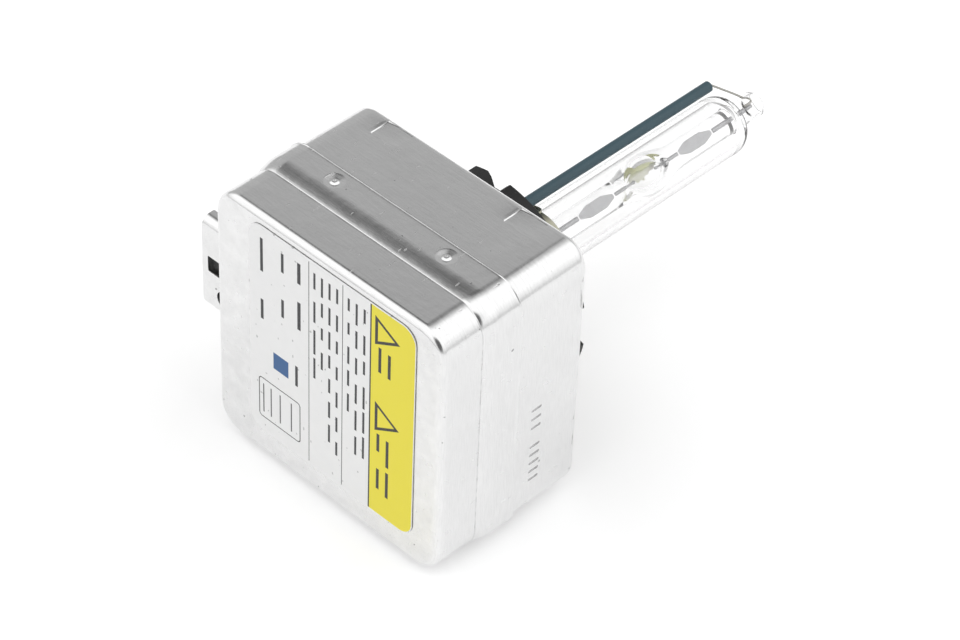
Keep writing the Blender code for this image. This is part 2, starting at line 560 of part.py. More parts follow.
def burner_inside():
    """Electrodes, sealing foils, lead wires and the salt in the chamber."""
    lean = math.radians(FOIL_LEAN)
    for side, sign, lead_end in (("rear", -1, REAR_LEAD_END_Y), ("front", 1, FRONT_LEAD_END_Y)):
        tip = ARC_CENTRE_Y + sign * ARC_GAP / 2
        foil_near = ARC_CENTRE_Y + sign * FOIL_OFFSET
        foil_far = foil_near + sign * FOIL_LENGTH
        root = foil_near - sign * FIT_GAP
        electrode = [(0.0, tip), (TIP_RADIUS, tip + sign * TIP_LENGTH / 5),
                     (TIP_RADIUS, tip + sign * TIP_LENGTH * 3 / 5),
                     (ELECTRODE_RADIUS, tip + sign * TIP_LENGTH), (ELECTRODE_RADIUS, root), (0.0, root)]
        turned(f"{side}_electrode", electrode if sign > 0 else electrode[::-1], [], TUNGSTEN, sides=12)
        foil = block(f"{side}_foil", (-FOIL_WIDTH / 2, min(foil_near, foil_far), -FOIL_THICKNESS / 2),
                     (FOIL_WIDTH / 2, max(foil_near, foil_far), FOIL_THICKNESS / 2), MOLYBDENUM)
        foil.rotation_euler = (0, lean, 0)
        wire(f"{side}_lead", [(0, foil_far + sign * FIT_GAP, 0), (0, lead_end, 0)], WIRE_RADIUS, MOLYBDENUM)

    bm = bmesh.new()
    bmesh.ops.create_uvsphere(bm, u_segments=12, v_segments=8, radius=1.0)
    bmesh.ops.scale(bm, vec=SALT_HALF_SIZE, verts=bm.verts)
    salt = add("salt_deposit", mesh_from(bm, "salt_deposit", 60), SALT)
    salt.location = around(SALT_RADIUS, SALT_BEARING, ARC_CENTRE_Y)
    salt.rotation_euler = (0, math.pi - math.radians(SALT_BEARING), 0)


def return_side():
    """The return wire and the ceramic sleeve that insulates it."""
    turned("ceramic_sleeve", [(SLEEVE_RADIUS, SLEEVE_REAR_Y), (SLEEVE_RADIUS, SLEEVE_FRONT_Y)],
           [(SLEEVE_BORE, SLEEVE_REAR_Y), (SLEEVE_BORE, SLEEVE_FRONT_Y)], CERAMIC, sides=16,
           location=(SLEEVE_X, 0, SLEEVE_Z))
    outward = Vector((SLEEVE_X, 0, SLEEVE_Z)).normalized()
    points = [outward * rise + Vector((0, along, 0)) for rise, along in RETURN_ROUTE]
    wire("return_wire", points, WIRE_RADIUS, TINNED)


# ---------------------------------------------------------------- the igniter
def igniter_case():
    """Plastic case of the igniter and its lid, behind the lamp base."""
    case = block("igniter_case", (-CASE_HALF_X, CASE_REAR_Y, -CASE_HALF_Z),
                 (CASE_HALF_X, CASE_FRONT_Y, CASE_HALF_Z), CASE_PLASTIC, round_axis=1, radius=CASE_CORNER)
    inside = block("case_inside", (-CASE_HALF_X + CASE_WALL, CASE_REAR_Y - OVERCUT, -CASE_HALF_Z + CASE_WALL),
                   (CASE_HALF_X - CASE_WALL, CASE_FRONT_Y - CASE_WALL, CASE_HALF_Z - CASE_WALL), None,
                   round_axis=1, radius=CASE_CORNER - CASE_WALL, group=cutters)
    pin_window = cutter_block(
        "pin_window", (-CASE_HALF_X - OVERCUT, PIN_WINDOW_REAR_Y, -PIN_WINDOW_HALF_Z),
        (-CASE_HALF_X + 2 * OVERCUT, PIN_WINDOW_FRONT_Y, PIN_WINDOW_HALF_Z))
    cut_start, cut_end = CASE_FRONT_Y - 2 * OVERCUT, CASE_FRONT_Y + OVERCUT
    lead_hole = rod("lead_hole", LEAD_HOLE_RADIUS, (0, cut_start, 0), (0, cut_end, 0),
                    None, sides=20, group=cutters)
    wire_hole = rod("wire_hole", WIRE_HOLE_RADIUS, (SLEEVE_X, cut_start, SLEEVE_Z),
                    (SLEEVE_X, cut_end, SLEEVE_Z), None, sides=12, group=cutters)
    for tool in (inside, pin_window, lead_hole, wire_hole):
        change(case, tool)
    edge = CASE_WALL + FIT_GAP
    block("case_lid", (-CASE_HALF_X + edge, CASE_REAR_Y, -CASE_HALF_Z + edge),
          (CASE_HALF_X - edge, CASE_REAR_Y + LID_THICKNESS, CASE_HALF_Z - edge), CASE_PLASTIC,
          round_axis=1, radius=CASE_CORNER - edge)


def transformer():
    """Rod-core ignition transformer: core, flanged bobbin, wound sections, primary band."""
    place = {"location": (COIL_X, COIL_Y, 0), "rotation": (0, 0, 0)}
    turned("transformer_core", [(0.0, -CORE_HALF_LENGTH), (CORE_RADIUS, -CORE_HALF_LENGTH),
                                (CORE_RADIUS, CORE_HALF_LENGTH), (0.0, CORE_HALF_LENGTH)], [],
           FERRITE, sides=20, **place)
    bore = CORE_RADIUS + FIT_GAP
    hub = bore + COIL_HUB_WALL
    half_flange = COIL_FLANGE_THICKNESS / 2
    outer = []
    for number in range(COIL_SECTIONS + 1):
        middle = (number - COIL_SECTIONS / 2) * COIL_PITCH
        outer += [(hub, middle - half_flange), (COIL_FLANGE_RADIUS, middle - half_flange),
                  (COIL_FLANGE_RADIUS, middle + half_flange), (hub, middle + half_flange)]
    end = COIL_SECTIONS / 2 * COIL_PITCH + half_flange
    turned("transformer_bobbin", outer[1:-1], [(bore, -end), (bore, end)], BOBBIN_PLASTIC, sides=24, **place)

    half_winding = COIL_PITCH / 2 - half_flange - FIT_GAP
    for number in range(COIL_SECTIONS):
        middle = (number - (COIL_SECTIONS - 1) / 2) * COIL_PITCH
        turned(f"secondary_coil_{number + 1}",
               [(WINDING_RADIUS, middle - half_winding), (WINDING_RADIUS, middle + half_winding)],
               [(hub + FIT_GAP, middle - half_winding), (hub + FIT_GAP, middle + half_winding)],
               COPPER, sides=20, **place)
    band = turned("primary_coil", [(BAND_OUTER, -BAND_HALF_LENGTH), (BAND_OUTER, BAND_HALF_LENGTH)],
                  [(BAND_INNER, -BAND_HALF_LENGTH), (BAND_INNER, BAND_HALF_LENGTH)], TINNED,
                  sides=24, **place)
    reach = BAND_HALF_LENGTH + OVERCUT
    band_gap = cutter_block("band_gap", (COIL_X - BAND_GAP_HALF_WIDTH, COIL_Y - BAND_OUTER - OVERCUT, -reach),
                            (COIL_X + BAND_GAP_HALF_WIDTH, COIL_Y - BAND_INNER + OVERCUT, reach))
    change(band, band_gap)


def igniter_parts():
    """Spark gap, storage capacitor, bleed resistor, stamped strips and contacts."""
    for name, profile, finish, sides, place in (
            ("spark_gap", SPARK_GAP_PROFILE, GAP_CERAMIC, 20, SPARK_GAP_PLACE),
            ("bleed_resistor", RESISTOR_PROFILE, RESISTOR_PAINT, 12, RESISTOR_PLACE)):
        closed = [(0.0, profile[0][1]), *profile, (0.0, profile[-1][1])]
        turned(name, closed, [], finish, sides=sides, location=place, rotation=(0, 0, 0))
    block("storage_capacitor", CAPACITOR_LOW, CAPACITOR_HIGH, CAPACITOR_RESIN, round_axis=1,
          radius=CAPACITOR_CORNER)
    strip_y = CASE_FRONT_Y - CASE_WALL - STRIP_DROP
    for name, outline in (("supply_strip", SUPPLY_OUTLINE), ("gap_strip", GAP_OUTLINE),
                          ("return_strip", RETURN_OUTLINE)):
        strip(name, outline, strip_y, STRIP_THICKNESS, TINNED)
    turned("high_voltage_contact", [(CONTACT_OUTER, CONTACT_REAR_Y), (CONTACT_OUTER, CONTACT_FRONT_Y)],
           [(CONTACT_INNER, CONTACT_REAR_Y), (CONTACT_INNER, CONTACT_FRONT_Y)], TINNED, sides=16)
    block("ground_tab", GROUND_LOW, GROUND_HIGH, STEEL, round_axis=0, radius=GROUND_CORNER, segments=2)


metal_box()
rating_label()
connector()
lamp_base()
burner_mounting()
outer_envelope()
arc_tube()
burner_inside()
return_side()
igniter_case()
transformer()
igniter_parts()
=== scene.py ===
"""Looks of a xenon headlight bulb: square pressed box, side plug, keyed flange and quartz burner.

Places are in millimetres on the lamp's own axes: x to the right, y along the burner from
the label face to the tip, z up. at() turns them into metres in the frame of the CAD model.
"""
import math

import bmesh
import bpy
from mathutils import Matrix, Vector


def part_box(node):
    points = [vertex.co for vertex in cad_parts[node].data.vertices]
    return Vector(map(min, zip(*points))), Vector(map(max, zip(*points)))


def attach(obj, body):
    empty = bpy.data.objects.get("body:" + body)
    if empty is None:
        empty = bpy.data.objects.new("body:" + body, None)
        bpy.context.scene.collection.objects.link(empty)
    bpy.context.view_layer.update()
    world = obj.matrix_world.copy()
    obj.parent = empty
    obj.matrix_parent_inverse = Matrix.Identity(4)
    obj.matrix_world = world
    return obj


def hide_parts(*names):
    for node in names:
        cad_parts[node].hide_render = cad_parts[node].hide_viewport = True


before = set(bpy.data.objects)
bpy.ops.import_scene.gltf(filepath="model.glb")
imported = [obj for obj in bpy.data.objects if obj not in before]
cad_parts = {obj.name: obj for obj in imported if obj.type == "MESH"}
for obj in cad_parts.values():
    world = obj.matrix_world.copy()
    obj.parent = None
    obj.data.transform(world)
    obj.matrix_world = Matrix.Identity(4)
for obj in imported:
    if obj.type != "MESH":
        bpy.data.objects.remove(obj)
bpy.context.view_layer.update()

MM = 0.001
bpy.ops.object.select_all(action="DESELECT")

# ------------------------------------------------------------------ lamp axes
# The rear cover fixes the axes: its label face is y = 0, and its middle is the burner's axis.
cover_low, cover_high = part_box("rear_cover")
AXIS = Vector(((cover_low.x + cover_high.x) / 2, cover_low.y, (cover_low.z + cover_high.z) / 2))


def at(x, y, z):
    """A point on the lamp's axes, given in millimetres, in the frame of the model."""
    return AXIS + Vector((x, y, z)) * MM


# ------------------------------------------------------------------ camera, floor and light
# A long lens looks down on the label corner of the box, which lies on plain white paper.
AIM = Vector((13.44, -23.63, 27.64)) * MM
AZIMUTH, ELEVATION, ROLL = math.radians(42.88), math.radians(42.25), math.radians(2.46)
DISTANCE = 443.8 * MM
sight = Vector((-math.sin(AZIMUTH) * math.cos(ELEVATION),
                math.cos(AZIMUTH) * math.cos(ELEVATION), -math.sin(ELEVATION)))
bpy.ops.object.camera_add()
camera = bpy.context.object
camera.name = "camera"
turn = sight.to_track_quat("-Z", "Y").to_matrix().to_4x4() @ Matrix.Rotation(ROLL, 4, "Z")
camera.matrix_world = Matrix.Translation(AIM - sight * DISTANCE) @ turn
camera.data.lens = 132.04
camera.data.sensor_width = 36
camera.data.clip_start = 0.01
bpy.context.scene.camera = camera


class Link:
    """An output socket in a material. Python's operators on it add Math nodes."""

    def __init__(self, tree, socket):
        self.tree = tree
        self.socket = socket

    def node(self, kind, inputs, output=0, stops=(), **settings):
        """Adds a node, makes its settings, then fills its sockets. Gives one output."""
        made = self.tree.nodes.new(kind)
        for name, value in settings.items():
            setattr(made, name, value)
        for number, (position, level) in enumerate(stops):
            elements = made.color_ramp.elements
            stop = elements[number] if number < len(elements) else elements.new(position)
            stop.position = position
            stop.color = (level, level, level, 1)
        for key, value in inputs.items():
            if isinstance(value, Link):
                self.tree.links.new(value.socket, made.inputs[key])
            else:
                made.inputs[key].default_value = value
        return Link(self.tree, made.outputs[output])

    def maths(self, operation, *values):
        return self.node("ShaderNodeMath", dict(enumerate(values)), operation=operation)

    def __add__(self, other):
        return self.maths("ADD", self, other)

    def __sub__(self, other):
        return self.maths("SUBTRACT", self, other)

    def __rsub__(self, other):
        return self.maths("SUBTRACT", other, self)

    def __mul__(self, other):
        return self.maths("MULTIPLY", self, other)

    def __abs__(self):
        return self.maths("ABSOLUTE", self)

    def __lt__(self, other):
        return self.maths("LESS_THAN", self, other)

    def __gt__(self, other):
        return self.maths("GREATER_THAN", self, other)

    __radd__ = __add__
    __rmul__ = __mul__

    def least(self, other):
        return self.maths("MINIMUM", self, other)

    def most(self, other):
        return self.maths("MAXIMUM", self, other)

    def parts(self):
        """The three numbers of a vector."""
        return [self.node("ShaderNodeSeparateXYZ", {0: self}, output=i) for i in range(3)]

    def stretch(self, x, y, z):
        """The vector with each axis scaled, to draw a pattern out along an axis."""
        return self.node("ShaderNodeVectorMath", {0: self, 1: (x, y, z)}, operation="MULTIPLY")

    def noise(self, scale, detail=2.0, roughness=0.5):
        return self.node("ShaderNodeTexNoise", {"Vector": self, "Scale": scale, "Detail": detail,
                                                "Roughness": roughness})

    def blend(self, low, high):
        """Goes from one colour to another as this number goes from 0 to 1."""
        return self.node("ShaderNodeMix", {0: self, 6: low, 7: high}, output=2, data_type="RGBA")

    def ramp(self, *stops):
        return self.node("ShaderNodeValToRGB", {0: self}, stops=stops)


def paper():
    """Plain white paper."""
    material = bpy.data.materials.new("white_paper")
    material.use_nodes = True
    tree = material.node_tree
    shader = tree.nodes["Principled BSDF"]
    shader.inputs["Base Color"].default_value = (0.9, 0.9, 0.9, 1)
    shader.inputs["Roughness"].default_value = 0.9
    shader.inputs["Specular IOR Level"].default_value = 0.1
    shader.inputs["Emission Color"].default_value = (1, 1, 1, 1)
    shader.inputs["Emission Strength"].default_value = 0.22
    return material


bpy.ops.mesh.primitive_plane_add(size=8, location=(0, 0, -0.0003))
floor = bpy.context.object
floor.name = "floor"
floor.data.materials.append(paper())

# The studio is bright all round, but for two soft dark places: the corner behind and to
# the left, which gives the metal its grey, and a dark screen at the front right.
SCREEN = Vector((0.70, -0.53, 0.48))
SIDE_LEAN, SIDE_BLUR = 0.17, 2.6
FRONT_LEAN, FRONT_BLUR = 0.06, 3.2
STUDIO_STRENGTH = 1.4
world = bpy.data.worlds.new("studio")
bpy.context.scene.world = world
world.use_nodes = True
sky = world.node_tree
x, y, z = Link(sky, sky.nodes.new("ShaderNodeTexCoord").outputs["Generated"]).parts()
to_right = ((x + z * SIDE_LEAN) * SIDE_BLUR + 0.5).ramp((0.0, 0.0), (1.0, 1.0))
to_front = ((z * FRONT_LEAN - y) * FRONT_BLUR + 0.5).ramp((0.0, 0.0), (1.0, 1.0))
corner = z.ramp((0.0, 0.38), (0.45, 0.38), (0.62, 0.37), (0.71, 0.34), (0.77, 0.12), (0.85, 0.07))
bright = z.ramp((0.0, 0.52), (0.1, 0.55), (0.2, 0.74), (0.5, 0.95))
screen = (x * SCREEN.x + y * SCREEN.y + z * SCREEN.z).ramp((0.87, 0.0), (0.95, 1.0))
light = screen.blend(to_right.most(to_front).blend(corner, bright), (0.1, 0.1, 0.1, 1))
sky.links.new(light.socket, sky.nodes["Background"].inputs["Color"])
sky.nodes["Background"].inputs["Strength"].default_value = STUDIO_STRENGTH
bpy.context.scene.view_settings.view_transform = "Standard"


# ------------------------------------------------------------------ rear cover
# The rear half of the box is a deep-drawn aluminium cup. A smooth step widens its open
# end, which laps over the front shell, and punched dimples stake the two together.
SHEET = 0.4
COVER_HALF_X, COVER_HALF_Z = 20.9, 21.0
CORNER_RADIUS, EDGE_RADIUS = 4.15, 1.2
STEP_FOOT, STEP_LENGTH, STEP_DEPTH = 7.0, 2.7, 0.52
COVER_END = 13.3
FLARE = ((12.75, 0.0), (12.98, 0.03), (13.1, 0.03), (13.2, 0.1), (COVER_END, 0.1))
DIMPLE_X, DIMPLE_Y = 9.9, 11.0
# Depth and radius, from the mouth of the dish in to its floor and over the pip.
DIMPLE_PROFILE = ((-0.3, 1.6), (-0.01, 1.6), (0.03, 1.4), (0.09, 1.15), (0.17, 0.85),
                  (0.21, 0.66), (0.02, 0.42), (-0.02, 0.22), (0.15, 0.12))


def finish(name, **sockets):
    """A new material with its constant sockets set. Gives it, its shader and its coordinates."""
    material = bpy.data.materials.new(name)
    material.use_nodes = True
    tree = material.node_tree
    shader = tree.nodes["Principled BSDF"]
    for key, value in sockets.items():
        shader.inputs[key.replace("_", " ")].default_value = value
    place = Link(tree, tree.nodes.new("ShaderNodeTexCoord").outputs["Object"])
    return material, shader, place


def connect(shader, sockets):
    """Feeds sockets of a shader from links."""
    for key, link in sockets.items():
        link.tree.links.new(link.socket, shader.inputs[key])


def bump(height, strength, distance):
    """A Bump node's normal, with its depth in metres."""
    return height.node("ShaderNodeBump", {"Strength": strength, "Distance": distance, "Height": height})


def tint(grey, warmth=0.0):
    """A grey with a little red and blue added or taken away."""
    return (grey + warmth, grey, grey - warmth, 1)


def rolled_aluminium():
    """Bright rolled sheet: fine lines, clouds, specks, scratches, and painted shade at the lap and step.
    """
    material, shader, place = finish("rolled_aluminium", Metallic=1.0)
    lines = place.stretch(0.06, 1.0, 0.06).noise(7000, 3.0, 0.65)
    clouds = place.noise(140, 3.0, 0.6)
    grain = place.noise(2600, 2.0)
    scratches = place.stretch(1.0, 0.2, 0.8).noise(2100, 1.0).ramp((0.715, 0.0), (0.74, 1.0))
    specks = place.noise(1300, 1.0).ramp((0.785, 0.0), (0.8, 1.0))
    tone = (lines * 0.7 + clouds * 0.2 + grain * 0.1).blend(tint(0.62), tint(0.92))
    tone = (specks * 0.75).blend(tone, tint(0.2))
    across, along = [part * (1 / MM) for part in place.parts()[:2]]
    across, along = across - AXIS.x / MM, along - AXIS.y / MM
    on_box = abs(across) < COVER_HALF_X + 0.3
    # A thin dark line at the lap's edge and at the foot of the step is painted shade in the seam gap and
    # the crease.
    seam = abs(along - COVER_END - 0.12) < 0.13
    foot = abs(along - STEP_FOOT + 0.1) < 0.1
    painted_lap_shade = on_box * (seam * 0.55 + foot * 0.3) * place.noise(900, 2.0).ramp((0.35, 0.25), (0.6, 1.0))
    tone = painted_lap_shade.blend(tone, tint(0.12))
    rough = 0.1 + lines * 0.1 + clouds * 0.08 + scratches * 0.15 + painted_lap_shade * 0.3
    waves = place.noise(420, 2.0)
    relief = lines * 0.16 + grain * 0.08 + waves - scratches * 0.25 - specks * 0.3
    connect(shader, {"Base Color": tone, "Roughness": rough, "Normal": bump(relief, 0.6, 0.00005)})
    return material


def pick(kind, rule=lambda part: True):
    """In edit mode, selects only those vertices, edges or faces that a rule allows."""
    bpy.ops.mesh.select_mode(type={"verts": "VERT", "edges": "EDGE", "faces": "FACE"}[kind])
    bpy.ops.mesh.select_all(action="DESELECT")
    cage = bmesh.from_edit_mesh(bpy.context.object.data)
    for part in getattr(cage, kind):
        part.select_set(bool(rule(part)))
    cage.select_flush_mode()
    bmesh.update_edit_mesh(bpy.context.object.data)


def begin(name, size=(1, 1, 1)):
    """Names the primitive just added, applies its place and size, and opens it for editing."""
    piece = bpy.context.object
    piece.name = name
    piece.scale = size
    bpy.ops.object.transform_apply(location=True, rotation=True, scale=True)
    bpy.ops.object.mode_set(mode="EDIT")
    return piece


def close_edit():
    """Merges doubles, turns the faces outwards and leaves edit mode."""
    bpy.ops.mesh.select_all(action="SELECT")
    bpy.ops.mesh.remove_doubles(threshold=1e-7)
    bpy.ops.mesh.normals_make_consistent(inside=False)
    bpy.ops.object.mode_set(mode="OBJECT")


def draw_out(stations, centre, axis=1):
    """Extrudes the selection along an axis, through stations of (place, reach, other reach)."""
    for (start, wide, high), (end, next_wide, next_high) in zip(stations, stations[1:]):
        move = [0.0, 0.0, 0.0]
        move[axis] = (end - start) * MM
        bpy.ops.mesh.extrude_region_move(TRANSFORM_OT_translate={"value": move})
        size = [next_wide / wide, next_high / high]
        size.insert(axis, 1.0)
        pivot = list(centre)
        pivot[axis] = AXIS[axis] + end * MM
        bpy.ops.transform.resize(value=size, center_override=pivot)


def modify(piece, kind, **settings):
    """Adds a modifier, sets it and applies it."""
    bpy.context.view_layer.objects.active = piece
    change = piece.modifiers.new(kind.lower(), kind)
    for name, value in settings.items():
        setattr(change, name, value)
    bpy.ops.object.modifier_apply(modifier=change.name)


def cut(piece, *tools, operation="DIFFERENCE"):
    """Cuts a piece with other objects, or joins them to it, and removes those."""
    for tool in tools:
        modify(piece, "BOOLEAN", operation=operation, solver="EXACT", object=tool)
        bpy.data.objects.remove(tool)


def polish(piece, angle=35.0):
    """Smooth shading that keeps sharp edges sharp and flat faces flat."""
    bpy.ops.object.select_all(action="DESELECT")
    bpy.context.view_layer.objects.active = piece
    piece.select_set(True)
    bpy.ops.object.shade_smooth_by_angle(angle=math.radians(angle))
    modify(piece, "WEIGHTED_NORMAL", keep_sharp=True, weight=50)
    piece.select_set(False)


def settle(piece, material, slot, *nodes):
    """Gives a finished piece its material and its body, and hides the CAD nodes it stands for. The slot
    is not used.
    """
    piece.data.materials.clear()
    piece.data.materials.append(material)
    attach(piece, "root")
    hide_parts(*nodes)


def pressing(name, stations, corner):
    """A drawn sheet cup: a flat face with round corners, pulled out into walls and left open."""
    place, half_x, half_z = stations[0]
    bpy.ops.mesh.primitive_plane_add(size=2, location=at(0, place, 0), rotation=(math.pi / 2, 0, 0))
    piece = begin(name, (half_x * MM, half_z * MM, 1))
    pick("verts")
    bpy.ops.mesh.bevel(affect="VERTICES", offset=corner * MM, segments=12)
    pick("faces")
    draw_out(stations, AXIS)
    bpy.ops.mesh.delete(type="FACE")
    face_y = at(0, place, 0).y
    pick("edges", lambda edge: all(abs(vert.co.y - face_y) < 1e-6 for vert in edge.verts))
    bpy.ops.mesh.bevel(offset=EDGE_RADIUS * MM, segments=7)
    close_edit()
    return piece


def box(name, low, high, radius=0.0, axis=None, segments=3):
    """A block between two corners, with the edges along an axis, or all of them, rounded."""
    low, high = at(*low), at(*high)
    bpy.ops.mesh.primitive_cube_add(size=1, location=(low + high) / 2)
    piece = begin(name, high - low)
    pick("edges", lambda edge: axis is None or abs((edge.verts[0].co - edge.verts[1].co)[axis]) > 1e-6)
    if radius:
        bpy.ops.mesh.bevel(offset=radius * MM, segments=segments)
    close_edit()
    return piece


def turned(name, stations, centre=(0.0, 0.0, 0.0), axis=1, sides=64, hollow=False):
    """A round piece through stations of (place, radius). A hollow one comes back along its bore."""
    laid = {0: (0, math.pi / 2, 0), 1: (math.pi / 2, 0, 0), 2: (0, 0, 0)}[axis]
    middle = at(*centre)
    start = middle.copy()
    start[axis] = AXIS[axis] + stations[0][0] * MM
    fill = "NOTHING" if hollow else "NGON"
    bpy.ops.mesh.primitive_circle_add(vertices=sides, radius=stations[0][1] * MM, fill_type=fill,
                                      location=start, rotation=laid)
    piece = begin(name)
    pick("edges" if hollow else "faces")
    draw_out([(place, radius, radius) for place, radius in stations], middle, axis)
    if hollow:
        pick("edges", lambda edge: len(edge.link_faces) == 1)
        bpy.ops.mesh.bridge_edge_loops()
    close_edit()
    return piece


def stake_dimple(x, side):
    """The punch that leaves a dimple: a round dish with a small pierced pip in its middle."""
    top = side * COVER_HALF_Z
    depths = [(top - side * depth, radius) for depth, radius in DIMPLE_PROFILE]
    return turned("punch", depths, centre=(x, DIMPLE_Y, 0), axis=2, sides=40)


# The step: a short steep foot, then a long slope that eases into the lap band.
STEP_ROWS = 8
FOOT_RISE = 0.07
step = []
for row in range(STEP_ROWS + 1):
    share = row / STEP_ROWS
    step.append((STEP_FOOT + 0.14 + STEP_LENGTH * share, (STEP_DEPTH - FOOT_RISE) * (1 - share) ** 1.7))
rise = [(0.0, STEP_DEPTH), (STEP_FOOT, STEP_DEPTH), (STEP_FOOT + 0.04, STEP_DEPTH - 0.015)] + step
rows = [(y, COVER_HALF_X - inset, COVER_HALF_Z - inset) for y, inset in rise]
rows += [(y, COVER_HALF_X + out, COVER_HALF_Z + out) for y, out in FLARE]
cover = pressing("cover_pressing", rows, CORNER_RADIUS)
modify(cover, "SOLIDIFY", thickness=SHEET * MM, offset=-1.0, use_even_offset=True)
PLUG_REAR, PLUG_FRONT, PLUG_HALF_Z = 4.4, 13.0, 7.6
CLEAR = 0.3
plug_hole_low = (-23.0, PLUG_REAR - CLEAR, -PLUG_HALF_Z - CLEAR)
plug_hole_high = (-19.0, PLUG_FRONT + CLEAR, PLUG_HALF_Z + CLEAR)
cut(cover, box("hole", plug_hole_low, plug_hole_high, 1.6, axis=0),
    *[stake_dimple(x, side) for x in (-DIMPLE_X, DIMPLE_X) for side in (1, -1)])
polish(cover)
ALUMINIUM = rolled_aluminium()
settle(cover, ALUMINIUM, "shell_aluminium", "rear_cover")


# ------------------------------------------------------------------ front shell
# The front half is a second drawn cup, inside the lap of the rear cover. Its end has the
# opening for the lamp's neck, and eight shallow pads are pressed in round its front edge.
FRONT_HALF_X, FRONT_HALF_Z = 20.45, 20.55
FRONT_END, FRONT_OPEN = 25.6, 9.0
NECK_OPENING = 13.2
PAD_REAR, PAD_FRONT, PAD_WIDTH, PAD_DEPTH = 21.2, 24.3, 4.6, 0.24
PAD_STARTS = (-14.2, 9.5)
# A pad's front takes in the first row of the edge rounding, 0.1 mm on, but not the next row.
PAD_RUN_OUT = 0.15


def split_side(side_rule, point, normal):
    """Cuts one wall of the shell along a plane."""
    pick("faces", side_rule)
    bpy.ops.mesh.bisect(plane_co=point, plane_no=normal)


def press_pad(axis, sign, start, grows):
    """Presses one pad into a wall. grows is the way along the wall, from its steep end."""
    wall = (FRONT_HALF_X if axis == 0 else FRONT_HALF_Z) * sign
    along = 2 - axis
    across = Vector((1, 0, 0)) if along == 0 else Vector((0, 0, 1))

    def on_wall(face):
        return sign * face.normal[axis] > 0.99

    cuts = [-3.0, -1.6, -0.6, 0.0, 0.12, PAD_WIDTH - 0.7, PAD_WIDTH]
    for away in cuts:
        split_side(on_wall, AXIS + across * (start + grows * away) * MM, across)
    for place in (PAD_REAR, PAD_REAR + 0.25, PAD_FRONT):
        split_side(on_wall, at(0, place, 0), (0, 1, 0))
    depths = {-1.6: 0.03, -0.6: 0.08, 0.0: 0.12, 0.12: PAD_DEPTH, PAD_WIDTH - 0.7: PAD_DEPTH * 0.8}
    level = AXIS[axis] + wall * MM
    for away, depth in depths.items():
        target = AXIS[along] + (start + grows * away) * MM

        def sunk(vert):
            near = abs(vert.co[along] - target) < 1e-6 and abs(vert.co[axis] - level) < 1e-6
            return near and at(0, PAD_REAR + 0.1, 0).y < vert.co.y < at(0, PAD_FRONT + PAD_RUN_OUT, 0).y

        pick("verts", sunk)
        move = [0.0, 0.0, 0.0]
        move[axis] = -sign * depth * MM
        bpy.ops.transform.translate(value=move)


shell_rows = [(place, FRONT_HALF_X, FRONT_HALF_Z) for place in (FRONT_END, FRONT_OPEN)]
shell = pressing("shell_pressing", shell_rows, CORNER_RADIUS - SHEET)
bpy.context.view_layer.objects.active = shell
bpy.ops.object.mode_set(mode="EDIT")
for start in PAD_STARTS:
    press_pad(2, 1, start, 1)
    press_pad(2, -1, -start, -1)
    press_pad(0, 1, -start + 1.2, -1)
    press_pad(0, -1, start - 1.2, 1)
bpy.ops.object.mode_set(mode="OBJECT")
modify(shell, "SOLIDIFY", thickness=SHEET * MM, offset=-1.0, use_even_offset=True)
STAMP_Y = (16.4, 18.2)
STAMP_PLACES = [-1.6 - 1.55 * i for i in range(3)] + [-8.0 - 1.45 * i for i in range(5)]
STAMP_DEPTH, STAMP_HALF = 0.28, 0.2
stamps = []
for z in STAMP_PLACES:
    stamp_low = (FRONT_HALF_X - STAMP_DEPTH, STAMP_Y[0], z - STAMP_HALF)
    stamp_high = (FRONT_HALF_X + 0.5, STAMP_Y[1], z + STAMP_HALF)
    stamps.append(box("stamp", stamp_low, stamp_high, 0.15, axis=0))
neck_cutter = [(FRONT_END - 2, NECK_OPENING), (FRONT_END + 2, NECK_OPENING)]
cut(shell, turned("opening", neck_cutter, sides=96),
    box("hole", plug_hole_low, plug_hole_high, 1.6, axis=0), *stamps)
polish(shell)
settle(shell, ALUMINIUM, "shell_aluminium", "front_shell")


# ------------------------------------------------------------------ rating label
# A printed film label sticks to the rear cover. Its print is generic and has no letters: a
# yellow band with two empty triangles, ruled lines, a square, a ruled panel, and plain bars.
LABEL = {"left": -13.8, "right": 16.0, "low": -16.2, "top": 19.2}
LABEL_REAR, LABEL_FRONT, LABEL_CORNER = -0.17, -0.05, 2.4
BAND_LEFT = 8.2
TEXT_COLUMNS = (
    # place across, half height, start and end of each line of bars
    (-11.4, 0.68, 17.2, 9.5), (-11.4, 0.68, 7.0, 2.9),
    (-7.6, 0.64, 17.0, 12.1), (-7.6, 0.64, 9.3, 3.9),
    (-4.6, 0.8, 17.3, 12.0), (-4.6, 0.8, 10.8, 4.7), (-5.1, 0.64, -0.4, -4.8),
    (2.25, 0.5, 17.5, -13.0), (0.9, 0.5, 17.5, -10.5), (-0.45, 0.5, 17.5, 0.9), (-1.8, 0.5, 17.5, -1.5),
    (7.1, 0.5, 17.3, -8.7), (5.7, 0.5, 17.3, -9.7), (4.3, 0.5, 17.3, -2.7),
    (11.5, 0.68, 12.6, 5.4), (9.85, 0.68, 12.8, 4.4),
    (11.4, 0.68, -2.1, -13.2), (9.75, 0.68, -1.9, -14.1),
)
# A word and its gap, and the thickness of its bar, against half the height of its line.
WORD_PITCH, BAR_SHARE = 8.6, 0.38
# Each triangle's base and apex across, its middle up, and half its width.
TRIANGLES = ((8.95, 13.3, 15.3, 2.4), (9.1, 13.4, 0.9, 2.5))
DIVIDERS = (-2.8, 3.25)
# Left, right, low, high and corner radius.
SQUARE = (-9.4, -6.6, -3.6, -0.8, 0.05)
PANEL = (-12.2, -4.4, -13.6, -6.6, 0.6)
PANEL_RULES = (-11.4, -10.0, -8.3, -6.2)


